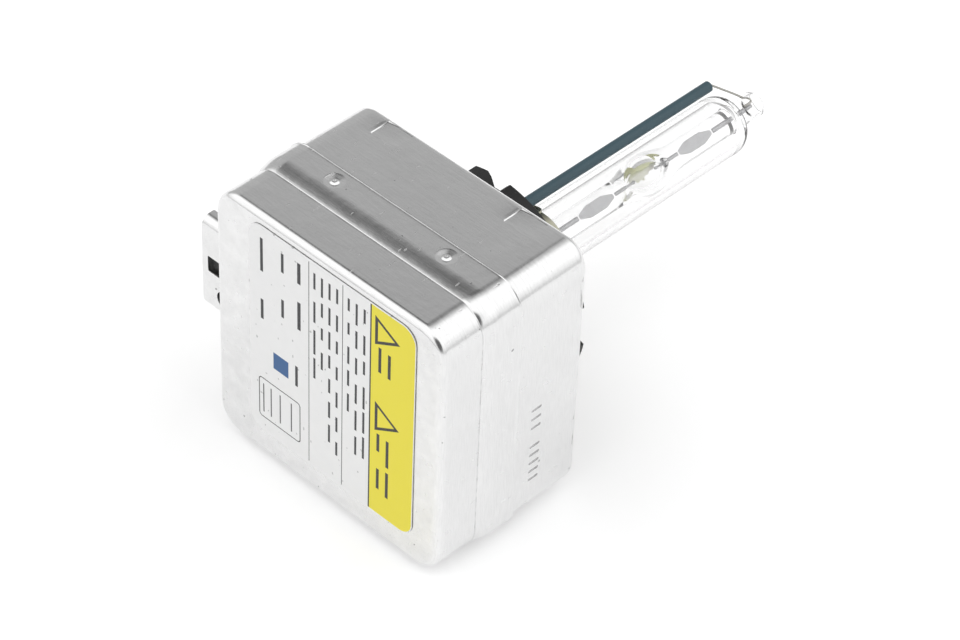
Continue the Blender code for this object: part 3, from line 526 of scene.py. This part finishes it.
def label_print():
    """Satin white film. The print is worked out from the place on the label, in millimetres."""
    material, shader, place = finish("label_film", Metallic=0.0, Roughness=0.36)
    moved = place.node("ShaderNodeVectorMath", {0: place, 1: tuple(AXIS)}, operation="SUBTRACT")
    across, depth, up = [part * (1 / MM) for part in moved.parts()]

    def between(value, low, high):
        return abs(value - (low + high) / 2) < abs(high - low) / 2

    def rounded(left, right, low, high, radius):
        """How far outside a rounded rectangle a place is."""
        side = (abs(across - (left + right) / 2) - ((right - left) / 2 - radius)).most(0.0)
        over = (abs(up - (low + high) / 2) - ((high - low) / 2 - radius)).most(0.0)
        square = side * side + over * over
        return square.maths("SQRT", square) - radius

    ink = None
    for number, (middle, half, start, end) in enumerate(TEXT_COLUMNS):
        count = max(1, round((start - end) / (WORD_PITCH * half)))
        words = (start - up) * (count / (start - end))
        cell = words.maths("FLOOR", words)
        chance = cell.node("ShaderNodeTexWhiteNoise", {"W": cell + number * 17.0}, noise_dimensions="1D")
        bars = (words - cell < chance * 0.4 + 0.48) * between(up, end, start)
        bars = bars * between(across, middle - half * BAR_SHARE, middle + half * BAR_SHARE)
        ink = bars if ink is None else ink + bars
    ink = ink.least(1.0)
    for divider in DIVIDERS:
        ink = ink.most(between(across, divider - 0.06, divider + 0.06) * between(up, -15.5, 18.8))

    band_shape = rounded(BAND_LEFT - 6, 15.9, -15.9, 19.05, 2.2) < 0.0
    band = band_shape * (across > BAND_LEFT)
    rule = between(across, BAND_LEFT - 0.12, BAND_LEFT + 0.12) * between(up, -15.9, 19.0)
    triangle = None
    for base, apex, middle, half in TRIANGLES:
        slope = half / (apex - base)
        out = (abs(up - middle) - (apex - across) * slope).most(base - across)
        outline = between(out, -0.5, 0.0)
        triangle = outline if triangle is None else triangle.most(outline)
    ink = ink.most(rule).most(triangle)

    mark = rounded(*SQUARE) < 0.0
    panel = between(rounded(*PANEL), -0.16, 0.0)
    for line in PANEL_RULES:
        panel = panel.most(between(across, line, line + 0.2) * between(up, -12.6, -7.6))
    ink = ink.most(panel)

    film = place.noise(700, 3.0).blend(tint(0.75), tint(0.79))
    specks = place.noise(1500, 0.0).ramp((0.80, 0.0), (0.82, 1.0))
    worn = place.noise(9000, 2.0).ramp((0.2, 0.85), (0.45, 1.0))
    colour = (specks * 0.6).blend(film, tint(0.25))
    colour = band.blend(colour, (0.75, 0.655, 0.025, 1))
    colour = mark.blend(colour, (0.015, 0.09, 0.25, 1))
    colour = (ink * worn).blend(colour, (0.012, 0.012, 0.015, 1))
    relief = place.noise(2500, 2.0)
    connect(shader, {"Base Color": colour, "Roughness": 0.34 + relief * 0.12,
                     "Normal": bump(relief, 0.15, 0.00001)})
    return material


label_low = (LABEL["left"], LABEL_REAR, LABEL["low"])
label_high = (LABEL["right"], LABEL_FRONT, LABEL["top"])
label = box("rating_film", label_low, label_high, LABEL_CORNER, axis=1, segments=10)
modify(label, "BEVEL", width=0.03 * MM, segments=2, limit_method="ANGLE")
polish(label)
settle(label, label_print(), "label_film", "rating_label")


# ------------------------------------------------------------------ plug connector
# The plug enters from the left: a folded metal shroud with a keying slot, a latch window
# and a round inspection hole, round a black insert that holds four flat pins.
PLUG_END, PLUG_ROOT = -27.9, -19.6
SLOT_REAR, SLOT_WIDTH, SLOT_END = 6.7, 4.2, -22.4
LATCH_WINDOW = ((-26.8, 3.4, -0.9), (-24.1, 5.0, 1.7))
ROUND_HOLE = (-23.7, 0.0, -4.4)


def black_nylon(name, grey=0.012, gloss=0.4):
    """Moulded black plastic: faint grain, soft sheen and a few dusty scuffs."""
    material, shader, place = finish(name, Metallic=0.0, Specular_IOR_Level=0.3)
    grain = place.noise(3500, 3.0, 0.6)
    flow = place.stretch(1.0, 0.4, 1.0).noise(260, 2.0)
    dust = place.noise(1300, 1.0).ramp((0.74, 0.0), (0.79, 1.0))
    tone = (grain * 0.5 + flow * 0.5).blend((grey * 0.6, grey * 0.62, grey * 0.7, 1), tint(grey * 1.7))
    tone = (dust * 0.35).blend(tone, tint(0.3))
    connect(shader, {"Base Color": tone, "Roughness": gloss - 0.08 + grain * 0.2,
                     "Normal": bump(grain, 0.4, 0.00002)})
    return material


middle_y, half_y = (PLUG_REAR + PLUG_FRONT) / 2, (PLUG_FRONT - PLUG_REAR) / 2
bpy.ops.mesh.primitive_plane_add(size=2, location=at(PLUG_END, middle_y, 0), rotation=(0, math.pi / 2, 0))
shroud = begin("plug_shroud", (PLUG_HALF_Z * MM, half_y * MM, 1))
pick("verts")
bpy.ops.mesh.bevel(affect="VERTICES", offset=1.5 * MM, segments=8)
pick("faces")
draw_out([(PLUG_END, 1, 1), (PLUG_ROOT, 1, 1)], at(0, middle_y, 0), axis=0)
pick("faces", lambda face: abs(face.normal.x) > 0.99)
bpy.ops.mesh.delete(type="FACE")
close_edit()
modify(shroud, "SOLIDIFY", thickness=SHEET * MM, offset=-1.0, use_even_offset=True)
slot_low = (PLUG_END - 1, SLOT_REAR, PLUG_HALF_Z - 1.2)
slot_high = (SLOT_END, SLOT_REAR + SLOT_WIDTH, PLUG_HALF_Z + 1)
cut(shroud, box("slot", slot_low, slot_high, 0.4, axis=2),
    box("window", *LATCH_WINDOW, 0.15, axis=1),
    turned("hole", [(PLUG_REAR - 1, 1.45), (PLUG_REAR + 0.6, 1.45)], centre=ROUND_HOLE, sides=40))
modify(shroud, "BEVEL", width=0.07 * MM, segments=2, limit_method="ANGLE", angle_limit=math.radians(50))
polish(shroud)
settle(shroud, ALUMINIUM, "shell_aluminium", "connector_shroud")

NYLON = black_nylon("black_nylon")
insert_low = (PLUG_END + 0.3, PLUG_REAR + 0.7, -PLUG_HALF_Z + 0.7)
insert_high = (PLUG_ROOT + 0.2, PLUG_FRONT - 0.7, PLUG_HALF_Z - 0.7)
insert = box("plug_insert", insert_low, insert_high, 0.8, axis=0)
socket_low = (insert_low[0] - 1, insert_low[1] + 0.9, insert_low[2] + 0.9)
socket_high = (insert_high[0] - 1, insert_high[1] - 0.9, insert_high[2] - 0.9)
PIN_PITCH, PIN_TIP, PIN_ROOT = 2.8, -23.5, -16.9
pin_places = [(number - 1.5) * PIN_PITCH for number in range(4)]
pin_holes = []
for z in pin_places:
    hole_low = (PLUG_ROOT - 2, middle_y - 0.45, z - 0.62)
    pin_holes.append(box("pin_hole", hole_low, (PLUG_ROOT + 1, middle_y + 0.45, z + 0.62)))
cut(insert, box("socket", socket_low, socket_high, 0.5, axis=0), *pin_holes)
ribs = []
for z in (-3.6, 3.6):
    rib_low = (PLUG_ROOT - 5.5, socket_high[1] - 0.7, z - 0.5)
    rib_high = (PLUG_ROOT - 0.9, socket_high[1] + 0.1, z + 0.5)
    ribs.append(box("key_rib", rib_low, rib_high, 0.12, axis=0))
cut(insert, *ribs, operation="UNION")
modify(insert, "BEVEL", width=0.12 * MM, segments=2, limit_method="ANGLE", angle_limit=math.radians(50))
polish(insert)
settle(insert, NYLON, "black_plastic", "connector_body")


def tinned_metal(name, colour, roughness):
    """Plated strip or wire: fine drawing lines and slight tarnish."""
    material, shader, place = finish(name, Metallic=1.0)
    lines = place.noise(7000, 2.0)
    tarnish = place.noise(600, 3.0)
    tone = tarnish.blend((*[part * 0.8 for part in colour], 1), (*colour, 1))
    connect(shader, {"Base Color": tone, "Roughness": roughness + lines * 0.15,
                     "Normal": bump(lines, 0.2, 0.00001)})
    return material


TINNED = tinned_metal("tinned_copper", (0.78, 0.76, 0.72), 0.22)
for number, z in enumerate(pin_places):
    blade_low, blade_high = (PIN_TIP, middle_y - 0.32, z - 0.5), (PIN_ROOT, middle_y + 0.32, z + 0.5)
    pin = box(f"contact_blade_{number + 1}", blade_low, blade_high)
    bpy.context.view_layer.objects.active = pin
    bpy.ops.object.mode_set(mode="EDIT")
    pick("faces", lambda face: face.normal.x < -0.99)
    bpy.ops.mesh.bevel(offset=0.25 * MM, segments=1)
    close_edit()
    modify(pin, "BEVEL", width=0.05 * MM, segments=2, limit_method="ANGLE")
    polish(pin)
    settle(pin, TINNED, "tinned_copper", f"contact_pin_{number + 1}")


# ------------------------------------------------------------------ lamp base
# The black moulding that the reflector holds: a neck through the box, a flange whose
# notches key it in the holder, and three bosses whose tops set the burner's distance.
FLANGE_RADIUS, FLANGE_ROOT = 16.0, 13.9
FLANGE_REAR, FLANGE_FRONT, REFERENCE = 27.5, 30.9, 32.0
NECK_RADIUS, NECK_REAR = 12.8, 22.6
NOTCHES = ((2.0, 8.0), (90.9, 3.8), (115.0, 6.0), (178.0, 8.0), (232.0, 6.0), (271.0, 5.7), (318.0, 6.0))
BOSS_ANGLES = (33.0, 153.0, 273.0)
SLEEVE_X, SLEEVE_Z = -1.63, 6.72


def bearing(place):
    """The angle round the lamp's axis of a place, in degrees from +x towards +z."""
    return math.degrees(math.atan2(place.z - AXIS.z, place.x - AXIS.x)) % 360


def in_notch(vert, spread):
    """Whether a vertex of the rim lies in a notch, or as near to it as the spread, in degrees."""
    angle = bearing(vert.co)
    return any(abs((angle - middle + 180) % 360 - 180) < half + spread for middle, half in NOTCHES)


def turn_about_axis(piece, degrees):
    """Swings a piece about the lamp's axis, from +x towards +z."""
    spin = Matrix.Rotation(math.radians(-degrees), 4, "Y")
    piece.data.transform(Matrix.Translation(AXIS) @ spin @ Matrix.Translation(-AXIS))


base = turned("base_moulding", [(FLANGE_REAR, FLANGE_RADIUS), (FLANGE_FRONT, FLANGE_RADIUS)], sides=180)
bpy.context.view_layer.objects.active = base
bpy.ops.object.mode_set(mode="EDIT")
for spread, radius in ((2.0, 15.3), (0.0, FLANGE_ROOT * FLANGE_RADIUS / 15.3)):
    pick("verts", lambda vert: in_notch(vert, spread))
    shrink = radius / FLANGE_RADIUS
    bpy.ops.transform.resize(value=(shrink, 1, shrink), center_override=AXIS)
pick("faces", lambda face: abs(face.normal.y) > 0.99)
bpy.ops.mesh.inset(thickness=0.35 * MM)
bpy.ops.object.mode_set(mode="OBJECT")
bosses = []
for degrees in BOSS_ANGLES:
    boss = box("boss", (13.6, FLANGE_FRONT - 1, -1.9), (15.6, REFERENCE, 1.9), 0.25, axis=1)
    turn_about_axis(boss, degrees)
    bosses.append(boss)
neck = turned("neck", [(NECK_REAR, NECK_RADIUS), (FLANGE_REAR + 1, NECK_RADIUS)], sides=96)
collar_rows = [(FLANGE_FRONT - 1, 11.2), (FLANGE_FRONT + 0.5, 11.2), (FLANGE_FRONT + 0.7, 11.0)]
collar = turned("raised_collar", collar_rows, sides=96)
cut(base, neck, collar, *bosses, operation="UNION")
cut(base, turned("recess", [(29.4, 8.6), (FLANGE_FRONT + 2, 8.6)]),
    turned("bore", [(NECK_REAR - 1, 2.6), (FLANGE_FRONT + 1, 2.6)], sides=48),
    turned("sleeve_hole", [(NECK_REAR - 1, 1.1), (FLANGE_FRONT + 1, 1.1)],
           centre=(SLEEVE_X, 0, SLEEVE_Z), sides=32))
modify(base, "BEVEL", width=0.14 * MM, segments=2, limit_method="ANGLE", angle_limit=math.radians(40))
polish(base)
settle(base, NYLON, "black_plastic", "lamp_base")


# ------------------------------------------------------------------ burner mounting
# A stainless ring sits in the base. Its four upright tabs are welded to the clamp band
# that grips the burner's outer tube, once the burner has been aligned.
STEEL = tinned_metal("stainless_steel", (0.44, 0.43, 0.34), 0.26)
RING_Y, TAB_REACH = 29.7, 39.3
ring_rows = [(RING_Y, 8.2), (RING_Y + 0.6, 8.2), (RING_Y + 0.6, 5.45), (RING_Y, 5.45)]
ring = turned("seat_ring", ring_rows, hollow=True)
tabs = []
for quarter in range(4):
    tab = box("tab", (5.45, RING_Y + 0.05, -1.1), (5.8, TAB_REACH, 1.1), 0.5, axis=0)
    turn_about_axis(tab, 10 + 90 * quarter)
    tabs.append(tab)
cut(ring, *tabs, operation="UNION")
cut(ring, turned("sleeve_hole", [(RING_Y - 1, 1.1), (RING_Y + 2, 1.1)],
                 centre=(SLEEVE_X, 0, SLEEVE_Z), sides=32))
modify(ring, "BEVEL", width=0.05 * MM, segments=2, limit_method="ANGLE", angle_limit=math.radians(50))
polish(ring)
settle(ring, STEEL, "stainless_steel", "mounting_ring")

CLAMP_REAR, CLAMP_FRONT = 33.2, 39.5
clamp_rows = [(CLAMP_REAR, 5.02), (CLAMP_REAR + 0.2, 5.1), (CLAMP_FRONT - 0.2, 5.1),
              (CLAMP_FRONT, 5.02), (CLAMP_FRONT, 4.7), (CLAMP_REAR, 4.7)]
collar_band = turned("burner_collar", clamp_rows, hollow=True)
polish(collar_band)
settle(collar_band, STEEL, "stainless_steel", "burner_clamp")


# ------------------------------------------------------------------ quartz burner
# Two fused quartz tubes, one in the other. The outer one stops ultraviolet light and is
# melted down on to the inner one, whose swollen middle is the discharge chamber.
ARC_CENTRE = 59.1
OUTER_REAR, OUTER_FRONT, OUTER_RADIUS, OUTER_WALL = 33.0, 77.0, 4.4, 0.9
LEG_REAR, LEG_FRONT, LEG_RADIUS, LEG_BORE = 31.0, 82.2, 1.88, 1.3
BULB_RADIUS, BULB_HALF = 3.0, 6.3
CHAMBER_RADIUS, CHAMBER_HALF = 1.6, 4.0
SHOULDER = 2.4


def clear_quartz(name, painted_outline_grey):
    """Clear fused quartz that lets the studio light through to what it holds. Its colour greys towards
    grazing angles: painted shade along its outlines.
    """
    material, shader, place = finish(name, Roughness=0.0, IOR=1.46, Transmission_Weight=1.0)
    tree = material.node_tree
    shadow = Link(tree, tree.nodes.new("ShaderNodeLightPath").outputs["Is Shadow Ray"])
    clear = tree.nodes.new("ShaderNodeBsdfTransparent")
    either = tree.nodes.new("ShaderNodeMixShader")
    tree.links.new(shadow.socket, either.inputs[0])
    tree.links.new(shader.outputs[0], either.inputs[1])
    tree.links.new(clear.outputs[0], either.inputs[2])
    tree.links.new(either.outputs[0], tree.nodes["Material Output"].inputs[0])
    wave = place.stretch(1.0, 0.12, 1.0).noise(200, 1.0)
    # The grey towards grazing angles is painted shade along the tube's outlines.
    edge = place.node("ShaderNodeLayerWeight", {"Blend": 0.5}, output=1)
    edge = edge.ramp((0.6, 0.0), (0.92, 1.0))
    connect(shader, {"Base Color": edge.blend(tint(1.0), tint(painted_outline_grey)),
                     "Normal": bump(wave, 0.006, 0.00005)})
    return material


def swell(along, half, low, high, power=2):
    """Radius of a bulge: low at its ends and high in its middle."""
    return low + (high - low) * math.cos(math.pi / 2 * min(abs(along) / half, 1.0)) ** power


NECK_BORE = LEG_RADIUS + 0.15
outside = []
inside = []
for step_number in range(11):
    angle = math.pi / 2 * step_number / 10
    run = SHOULDER * (1 - math.cos(angle))
    widening = (OUTER_RADIUS - NECK_BORE - 0.5) * math.sin(angle)
    outside.append((OUTER_REAR + run, NECK_BORE + 0.5 + widening))
    inside.append((OUTER_REAR + OUTER_WALL + run * 0.9,
                   NECK_BORE + (OUTER_RADIUS - OUTER_WALL - NECK_BORE) * math.sin(angle)))
outside += [(OUTER_REAR + OUTER_FRONT - along, radius) for along, radius in reversed(outside)]
inside += [(OUTER_REAR + OUTER_FRONT - along, radius) for along, radius in reversed(inside)]
inside = [(OUTER_REAR, NECK_BORE)] + inside + [(OUTER_FRONT, NECK_BORE)]
envelope = turned("outer_tube", outside + list(reversed(inside)), hollow=True)
polish(envelope, 60)
settle(envelope, clear_quartz("outer_quartz", 0.42), "quartz_glass", "outer_envelope")

SEAL_REAR, SEAL_FRONT = 37.0, 79.4
legs = [(LEG_REAR, LEG_RADIUS)]
for step_number in range(25):
    along = BULB_HALF * (2 * step_number / 24 - 1)
    legs.append((ARC_CENTRE + along, swell(along, BULB_HALF, LEG_RADIUS, BULB_RADIUS)))
legs += [(LEG_FRONT - 0.2, LEG_RADIUS), (LEG_FRONT, LEG_RADIUS - 0.15)]
burner = turned("quartz_burner", legs)
chamber = []
for step_number in range(21):
    along = CHAMBER_HALF * (2 * step_number / 20 - 1)
    chamber.append((ARC_CENTRE + along, swell(along, CHAMBER_HALF, 0.12, CHAMBER_RADIUS, 1)))
rear_rows = [(LEG_REAR - 1, LEG_BORE), (SEAL_REAR - 0.8, LEG_BORE), (SEAL_REAR, 0.4)]
front_rows = [(SEAL_FRONT, 0.4), (SEAL_FRONT + 0.8, LEG_BORE), (LEG_FRONT + 1, LEG_BORE)]
rear_bore = turned("rear_bore", rear_rows, sides=48)
front_bore = turned("front_bore", front_rows, sides=48)
cut(burner, turned("chamber", chamber, sides=48), rear_bore, front_bore)
polish(burner, 50)
settle(burner, clear_quartz("inner_quartz", 0.7), "quartz_glass", "arc_tube")


# ------------------------------------------------------------------ electrodes, foils and salt
# Tungsten electrodes face each other across the arc gap. Thin molybdenum foils carry the
# current through the sealed quartz, and the metal salts lie on the chamber's wall.
ARC_GAP = 4.2
FOIL_OFFSET, FOIL_LENGTH, FOIL_HALF_WIDTH, FOIL_LEAN = 6.5, 6.6, 0.55, -37.0
LEAD_RADIUS = 0.22
TUNGSTEN = tinned_metal("tungsten", (0.48, 0.48, 0.49), 0.3)
MOLYBDENUM = tinned_metal("molybdenum", (0.5, 0.5, 0.51), 0.34)


def wire(name, route, radius):
    """A round wire through points on the lamp's axes, in millimetres, with smooth bends."""
    bpy.ops.curve.primitive_nurbs_path_add()
    path = bpy.context.object
    path.name = name
    spline = path.data.splines[0]
    spline.points.add(len(route) - len(spline.points))
    for point, place in zip(spline.points, route):
        point.co = (*at(*place), 1)
    spline.order_u = 3
    spline.use_endpoint_u = True
    spline.resolution_u = 6
    path.data.bevel_depth = radius * MM
    path.data.bevel_resolution = 4
    path.data.use_fill_caps = True
    bpy.ops.object.convert(target="MESH")
    bpy.ops.object.mode_set(mode="EDIT")
    close_edit()
    return path


for end, sign in (("rear", -1), ("front", 1)):
    tip = ARC_CENTRE + sign * ARC_GAP / 2
    near = ARC_CENTRE + sign * FOIL_OFFSET
    far = near + sign * FOIL_LENGTH
    rod_rows = [(tip, 0.12), (tip + sign * 0.1, 0.2), (tip + sign * 0.35, 0.25),
                (tip + sign * 0.6, 0.16), (near - sign * 0.3, 0.16)]
    electrode = turned(f"{end}_tip_rod", rod_rows, sides=24)
    polish(electrode)
    settle(electrode, TUNGSTEN, "tungsten", f"{end}_electrode")

    foil_low = (-FOIL_HALF_WIDTH, min(near, far), -0.05)
    foil = box(f"{end}_seal_foil", foil_low, (FOIL_HALF_WIDTH, max(near, far), 0.05))
    bpy.context.view_layer.objects.active = foil
    bpy.ops.object.mode_set(mode="EDIT")
    for along in (near + sign * 1.8, far - sign * 1.8):
        pick("faces")
        bpy.ops.mesh.bisect(plane_co=at(0, along, 0), plane_no=(0, 1, 0))
    full_from, full_to = at(0, min(near, far) + 1, 0).y, at(0, max(near, far) - 1, 0).y
    pick("verts", lambda vert: not full_from < vert.co.y < full_to)
    bpy.ops.transform.resize(value=(0.35, 1, 1), center_override=AXIS)
    pick("edges", lambda edge: abs(edge.verts[0].co.z - edge.verts[1].co.z) > 1e-6)
    bpy.ops.mesh.bevel(offset=0.15 * MM, segments=4)
    close_edit()
    turn_about_axis(foil, FOIL_LEAN)
    polish(foil)
    settle(foil, MOLYBDENUM, "molybdenum", f"{end}_foil")

HOOK_END, CONTACT_END = 80.9, 19.5


def straight(start, end):
    """Seven evenly spaced points along the lamp's axis."""
    return [(0, start + (end - start) * i / 6, 0) for i in range(7)]


front_lead_start = ARC_CENTRE + FOIL_OFFSET + FOIL_LENGTH + 0.3
front_lead = wire("front_lead_wire", straight(front_lead_start, HOOK_END), LEAD_RADIUS)
polish(front_lead)
settle(front_lead, MOLYBDENUM, "molybdenum", "front_lead")
rear_lead_start = ARC_CENTRE - FOIL_OFFSET - FOIL_LENGTH - 0.3
rear_lead = wire("rear_lead_wire", straight(rear_lead_start, CONTACT_END), LEAD_RADIUS)
polish(rear_lead)
settle(rear_lead, MOLYBDENUM, "molybdenum", "rear_lead")


def dried_salt():
    """Pale yellow salt, melted and set on the wall in uneven patches."""
    material, shader, place = finish("iodide_salt", Roughness=0.6)
    patches = place.noise(1800, 4.0, 0.6)
    x, y, z = place.parts()
    # Towards the upper left the salt turns dark olive: its own yellow-green, deepened with painted shade
    # where the patch is seen edge-on.
    olive_tint_and_shade = ((z - AXIS.z) * 620.0 - (x - AXIS.x) * 420.0 + patches * 0.5).ramp((0.35, 0.0), (0.9, 1.0))
    tone = olive_tint_and_shade.blend((0.93, 0.93, 0.83, 1), (0.56, 0.57, 0.33, 1))
    connect(shader, {"Base Color": tone, "Normal": bump(patches, 0.6, 0.00004)})
    return material


SALT_BEARING, SALT_SPREAD, SALT_HALF = 165.0, 92.0, 3.2
bpy.ops.mesh.primitive_uv_sphere_add(segments=64, ring_count=40, location=at(0, ARC_CENTRE, 0),
                                     rotation=(math.pi / 2, 0, 0))
salt_radius, salt_half = 0.93 * CHAMBER_RADIUS * MM, 0.9 * CHAMBER_HALF * MM
salt = begin("salt_patch", (salt_radius, salt_radius, salt_half))


def off_the_patch(vert):
    """Whether a place on the chamber's wall is clear of salt. The patch has an uneven oval edge."""
    turned_by = (bearing(vert.co) - SALT_BEARING + 180) % 360 - 180
    along = (vert.co.y - at(0, ARC_CENTRE, 0).y) / MM
    ragged = 1 + 0.12 * math.sin(turned_by / 7) + 0.1 * math.sin(along * 5)
    return (turned_by / SALT_SPREAD) ** 2 + (along / SALT_HALF) ** 2 > ragged


pick("verts", off_the_patch)
bpy.ops.mesh.delete(type="VERT")
bpy.ops.object.mode_set(mode="OBJECT")
modify(salt, "SOLIDIFY", thickness=0.09 * MM, offset=-1.0)
polish(salt, 60)
settle(salt, dried_salt(), "iodide_salt", "salt_deposit")


# ------------------------------------------------------------------ return wire and ceramic sleeve
# The current comes back through a thin wire beside the burner, in a slate-blue glazed
# ceramic sleeve. Past the sleeve the bare wire bends over to the lead in the burner's tip.
SLEEVE_REAR, SLEEVE_FRONT, SLEEVE_RADIUS, SLEEVE_BORE = 24.0, 73.7, 0.8, 0.4


def blue_ceramic():
    """Slate-blue fired ceramic, with faint mottling and a soft glaze."""
    material, shader, place = finish("blue_ceramic", Metallic=0.0)
    mottle = place.stretch(1.0, 0.35, 1.0).noise(900, 4.0, 0.6)
    specks = place.noise(5000, 1.0).ramp((0.7, 0.0), (0.75, 1.0))
    tone = mottle.blend((0.030, 0.066, 0.084, 1), (0.044, 0.090, 0.112, 1))
    tone = (specks * 0.3).blend(tone, (0.2, 0.26, 0.28, 1))
    connect(shader, {"Base Color": tone, "Roughness": 0.42 + mottle * 0.2,
                     "Normal": bump(mottle, 0.3, 0.00002)})
    return material


sleeve_rows = [(SLEEVE_REAR, SLEEVE_RADIUS), (SLEEVE_FRONT - 0.1, SLEEVE_RADIUS),
               (SLEEVE_FRONT, SLEEVE_RADIUS - 0.1), (SLEEVE_FRONT, SLEEVE_BORE),
               (SLEEVE_REAR, SLEEVE_BORE)]
sleeve = turned("blue_sleeve", sleeve_rows, centre=(SLEEVE_X, 0, SLEEVE_Z), sides=40, hollow=True)
polish(sleeve)
settle(sleeve, blue_ceramic(), "blue_ceramic", "ceramic_sleeve")

RETURN_RADIUS = 0.15
SLEEVE_RISE = math.hypot(SLEEVE_X, SLEEVE_Z)
# How far from the axis and how far along it the wire passes.
WIRE_ROUTE = ((SLEEVE_RISE, 22.6), (SLEEVE_RISE, 40.0), (SLEEVE_RISE, 60.0), (SLEEVE_RISE, 73.6),
              (SLEEVE_RISE - 0.1, 74.2), (6.4, 74.7), (4.6, 76.9), (2.95, 78.9), (1.6, 80.4),
              (0.75, 81.3), (0.45, 80.9), (0.42, 79.5))
route = [(SLEEVE_X * rise / SLEEVE_RISE, along, SLEEVE_Z * rise / SLEEVE_RISE)
         for rise, along in WIRE_ROUTE]
return_wire = wire("return_bare_wire", route, RETURN_RADIUS)
polish(return_wire)
NICKEL = tinned_metal("nickel_wire", (0.42, 0.41, 0.38), 0.3)
settle(return_wire, NICKEL, "nickel_wire", "return_wire")


# ------------------------------------------------------------------ igniter inside the box
# The box hides the igniter. Its pieces keep their CAD shapes and only take a finish:
# moulded case, ferrite rod, wound coils, spark gap, capacitor, resistor and strips.
def ferrite():
    """Pressed and fired ferrite: nearly black, matt and slightly pitted."""
    material, shader, place = finish("ferrite_grey", Metallic=0.0)
    pits = place.noise(2600, 4.0, 0.7)
    connect(shader, {"Base Color": pits.blend(tint(0.035), tint(0.085)), "Roughness": 0.5 + pits * 0.25,
                     "Normal": bump(pits, 0.5, 0.00004)})
    return material


def winding(name, low, high):
    """Rows of lacquered wire, side by side along the coil's length, darker between the turns with painted
    shade.
    """
    material, shader, place = finish(name, Metallic=1.0)
    turns = place.node("ShaderNodeTexWave", {"Vector": place, "Scale": 900.0}, bands_direction="Z",
                       output=1)
    # The colour darkens where the bump dips between turns: painted shade in the grooves.
    connect(shader, {"Base Color": turns.blend((*low, 1), (*high, 1)), "Roughness": 0.3 + turns * 0.1,
                     "Normal": bump(turns, 0.6, 0.00006)})
    return material


def plain_moulding(name, low, high, roughness):
    """A coloured plastic, resin, glaze or paint with faint clouding."""
    material, shader, place = finish(name, Metallic=0.0)
    clouds = place.noise(700, 4.0, 0.6)
    connect(shader, {"Base Color": clouds.blend((*low, 1), (*high, 1)),
                     "Roughness": roughness + clouds * 0.12,
                     "Normal": bump(clouds, 0.25, 0.00003)})
    return material


CASE = black_nylon("case_nylon", 0.05, 0.55)
HIDDEN_FINISHES = {
    "igniter_case": CASE, "case_lid": CASE, "transformer_core": ferrite(),
    "transformer_bobbin": plain_moulding("bobbin_plastic", (0.62, 0.58, 0.46), (0.72, 0.68, 0.56), 0.45),
    "spark_gap": plain_moulding("white_ceramic", (0.80, 0.79, 0.75), (0.88, 0.87, 0.84), 0.25),
    "storage_capacitor": plain_moulding("capacitor_resin", (0.30, 0.06, 0.04), (0.40, 0.10, 0.07), 0.35),
    "bleed_resistor": plain_moulding("resistor_paint", (0.20, 0.34, 0.44), (0.28, 0.44, 0.54), 0.35),
    "primary_coil": TINNED, "supply_strip": TINNED, "gap_strip": TINNED, "return_strip": TINNED,
    "high_voltage_contact": TINNED, "ground_tab": STEEL,
}
ENAMEL = winding("enamelled_copper", (0.34, 0.12, 0.04), (0.66, 0.30, 0.13))
for number in range(1, 5):
    HIDDEN_FINISHES[f"secondary_coil_{number}"] = ENAMEL
for node, material in HIDDEN_FINISHES.items():
    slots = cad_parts[node].data.materials
    slots.clear()
    slots.append(material)
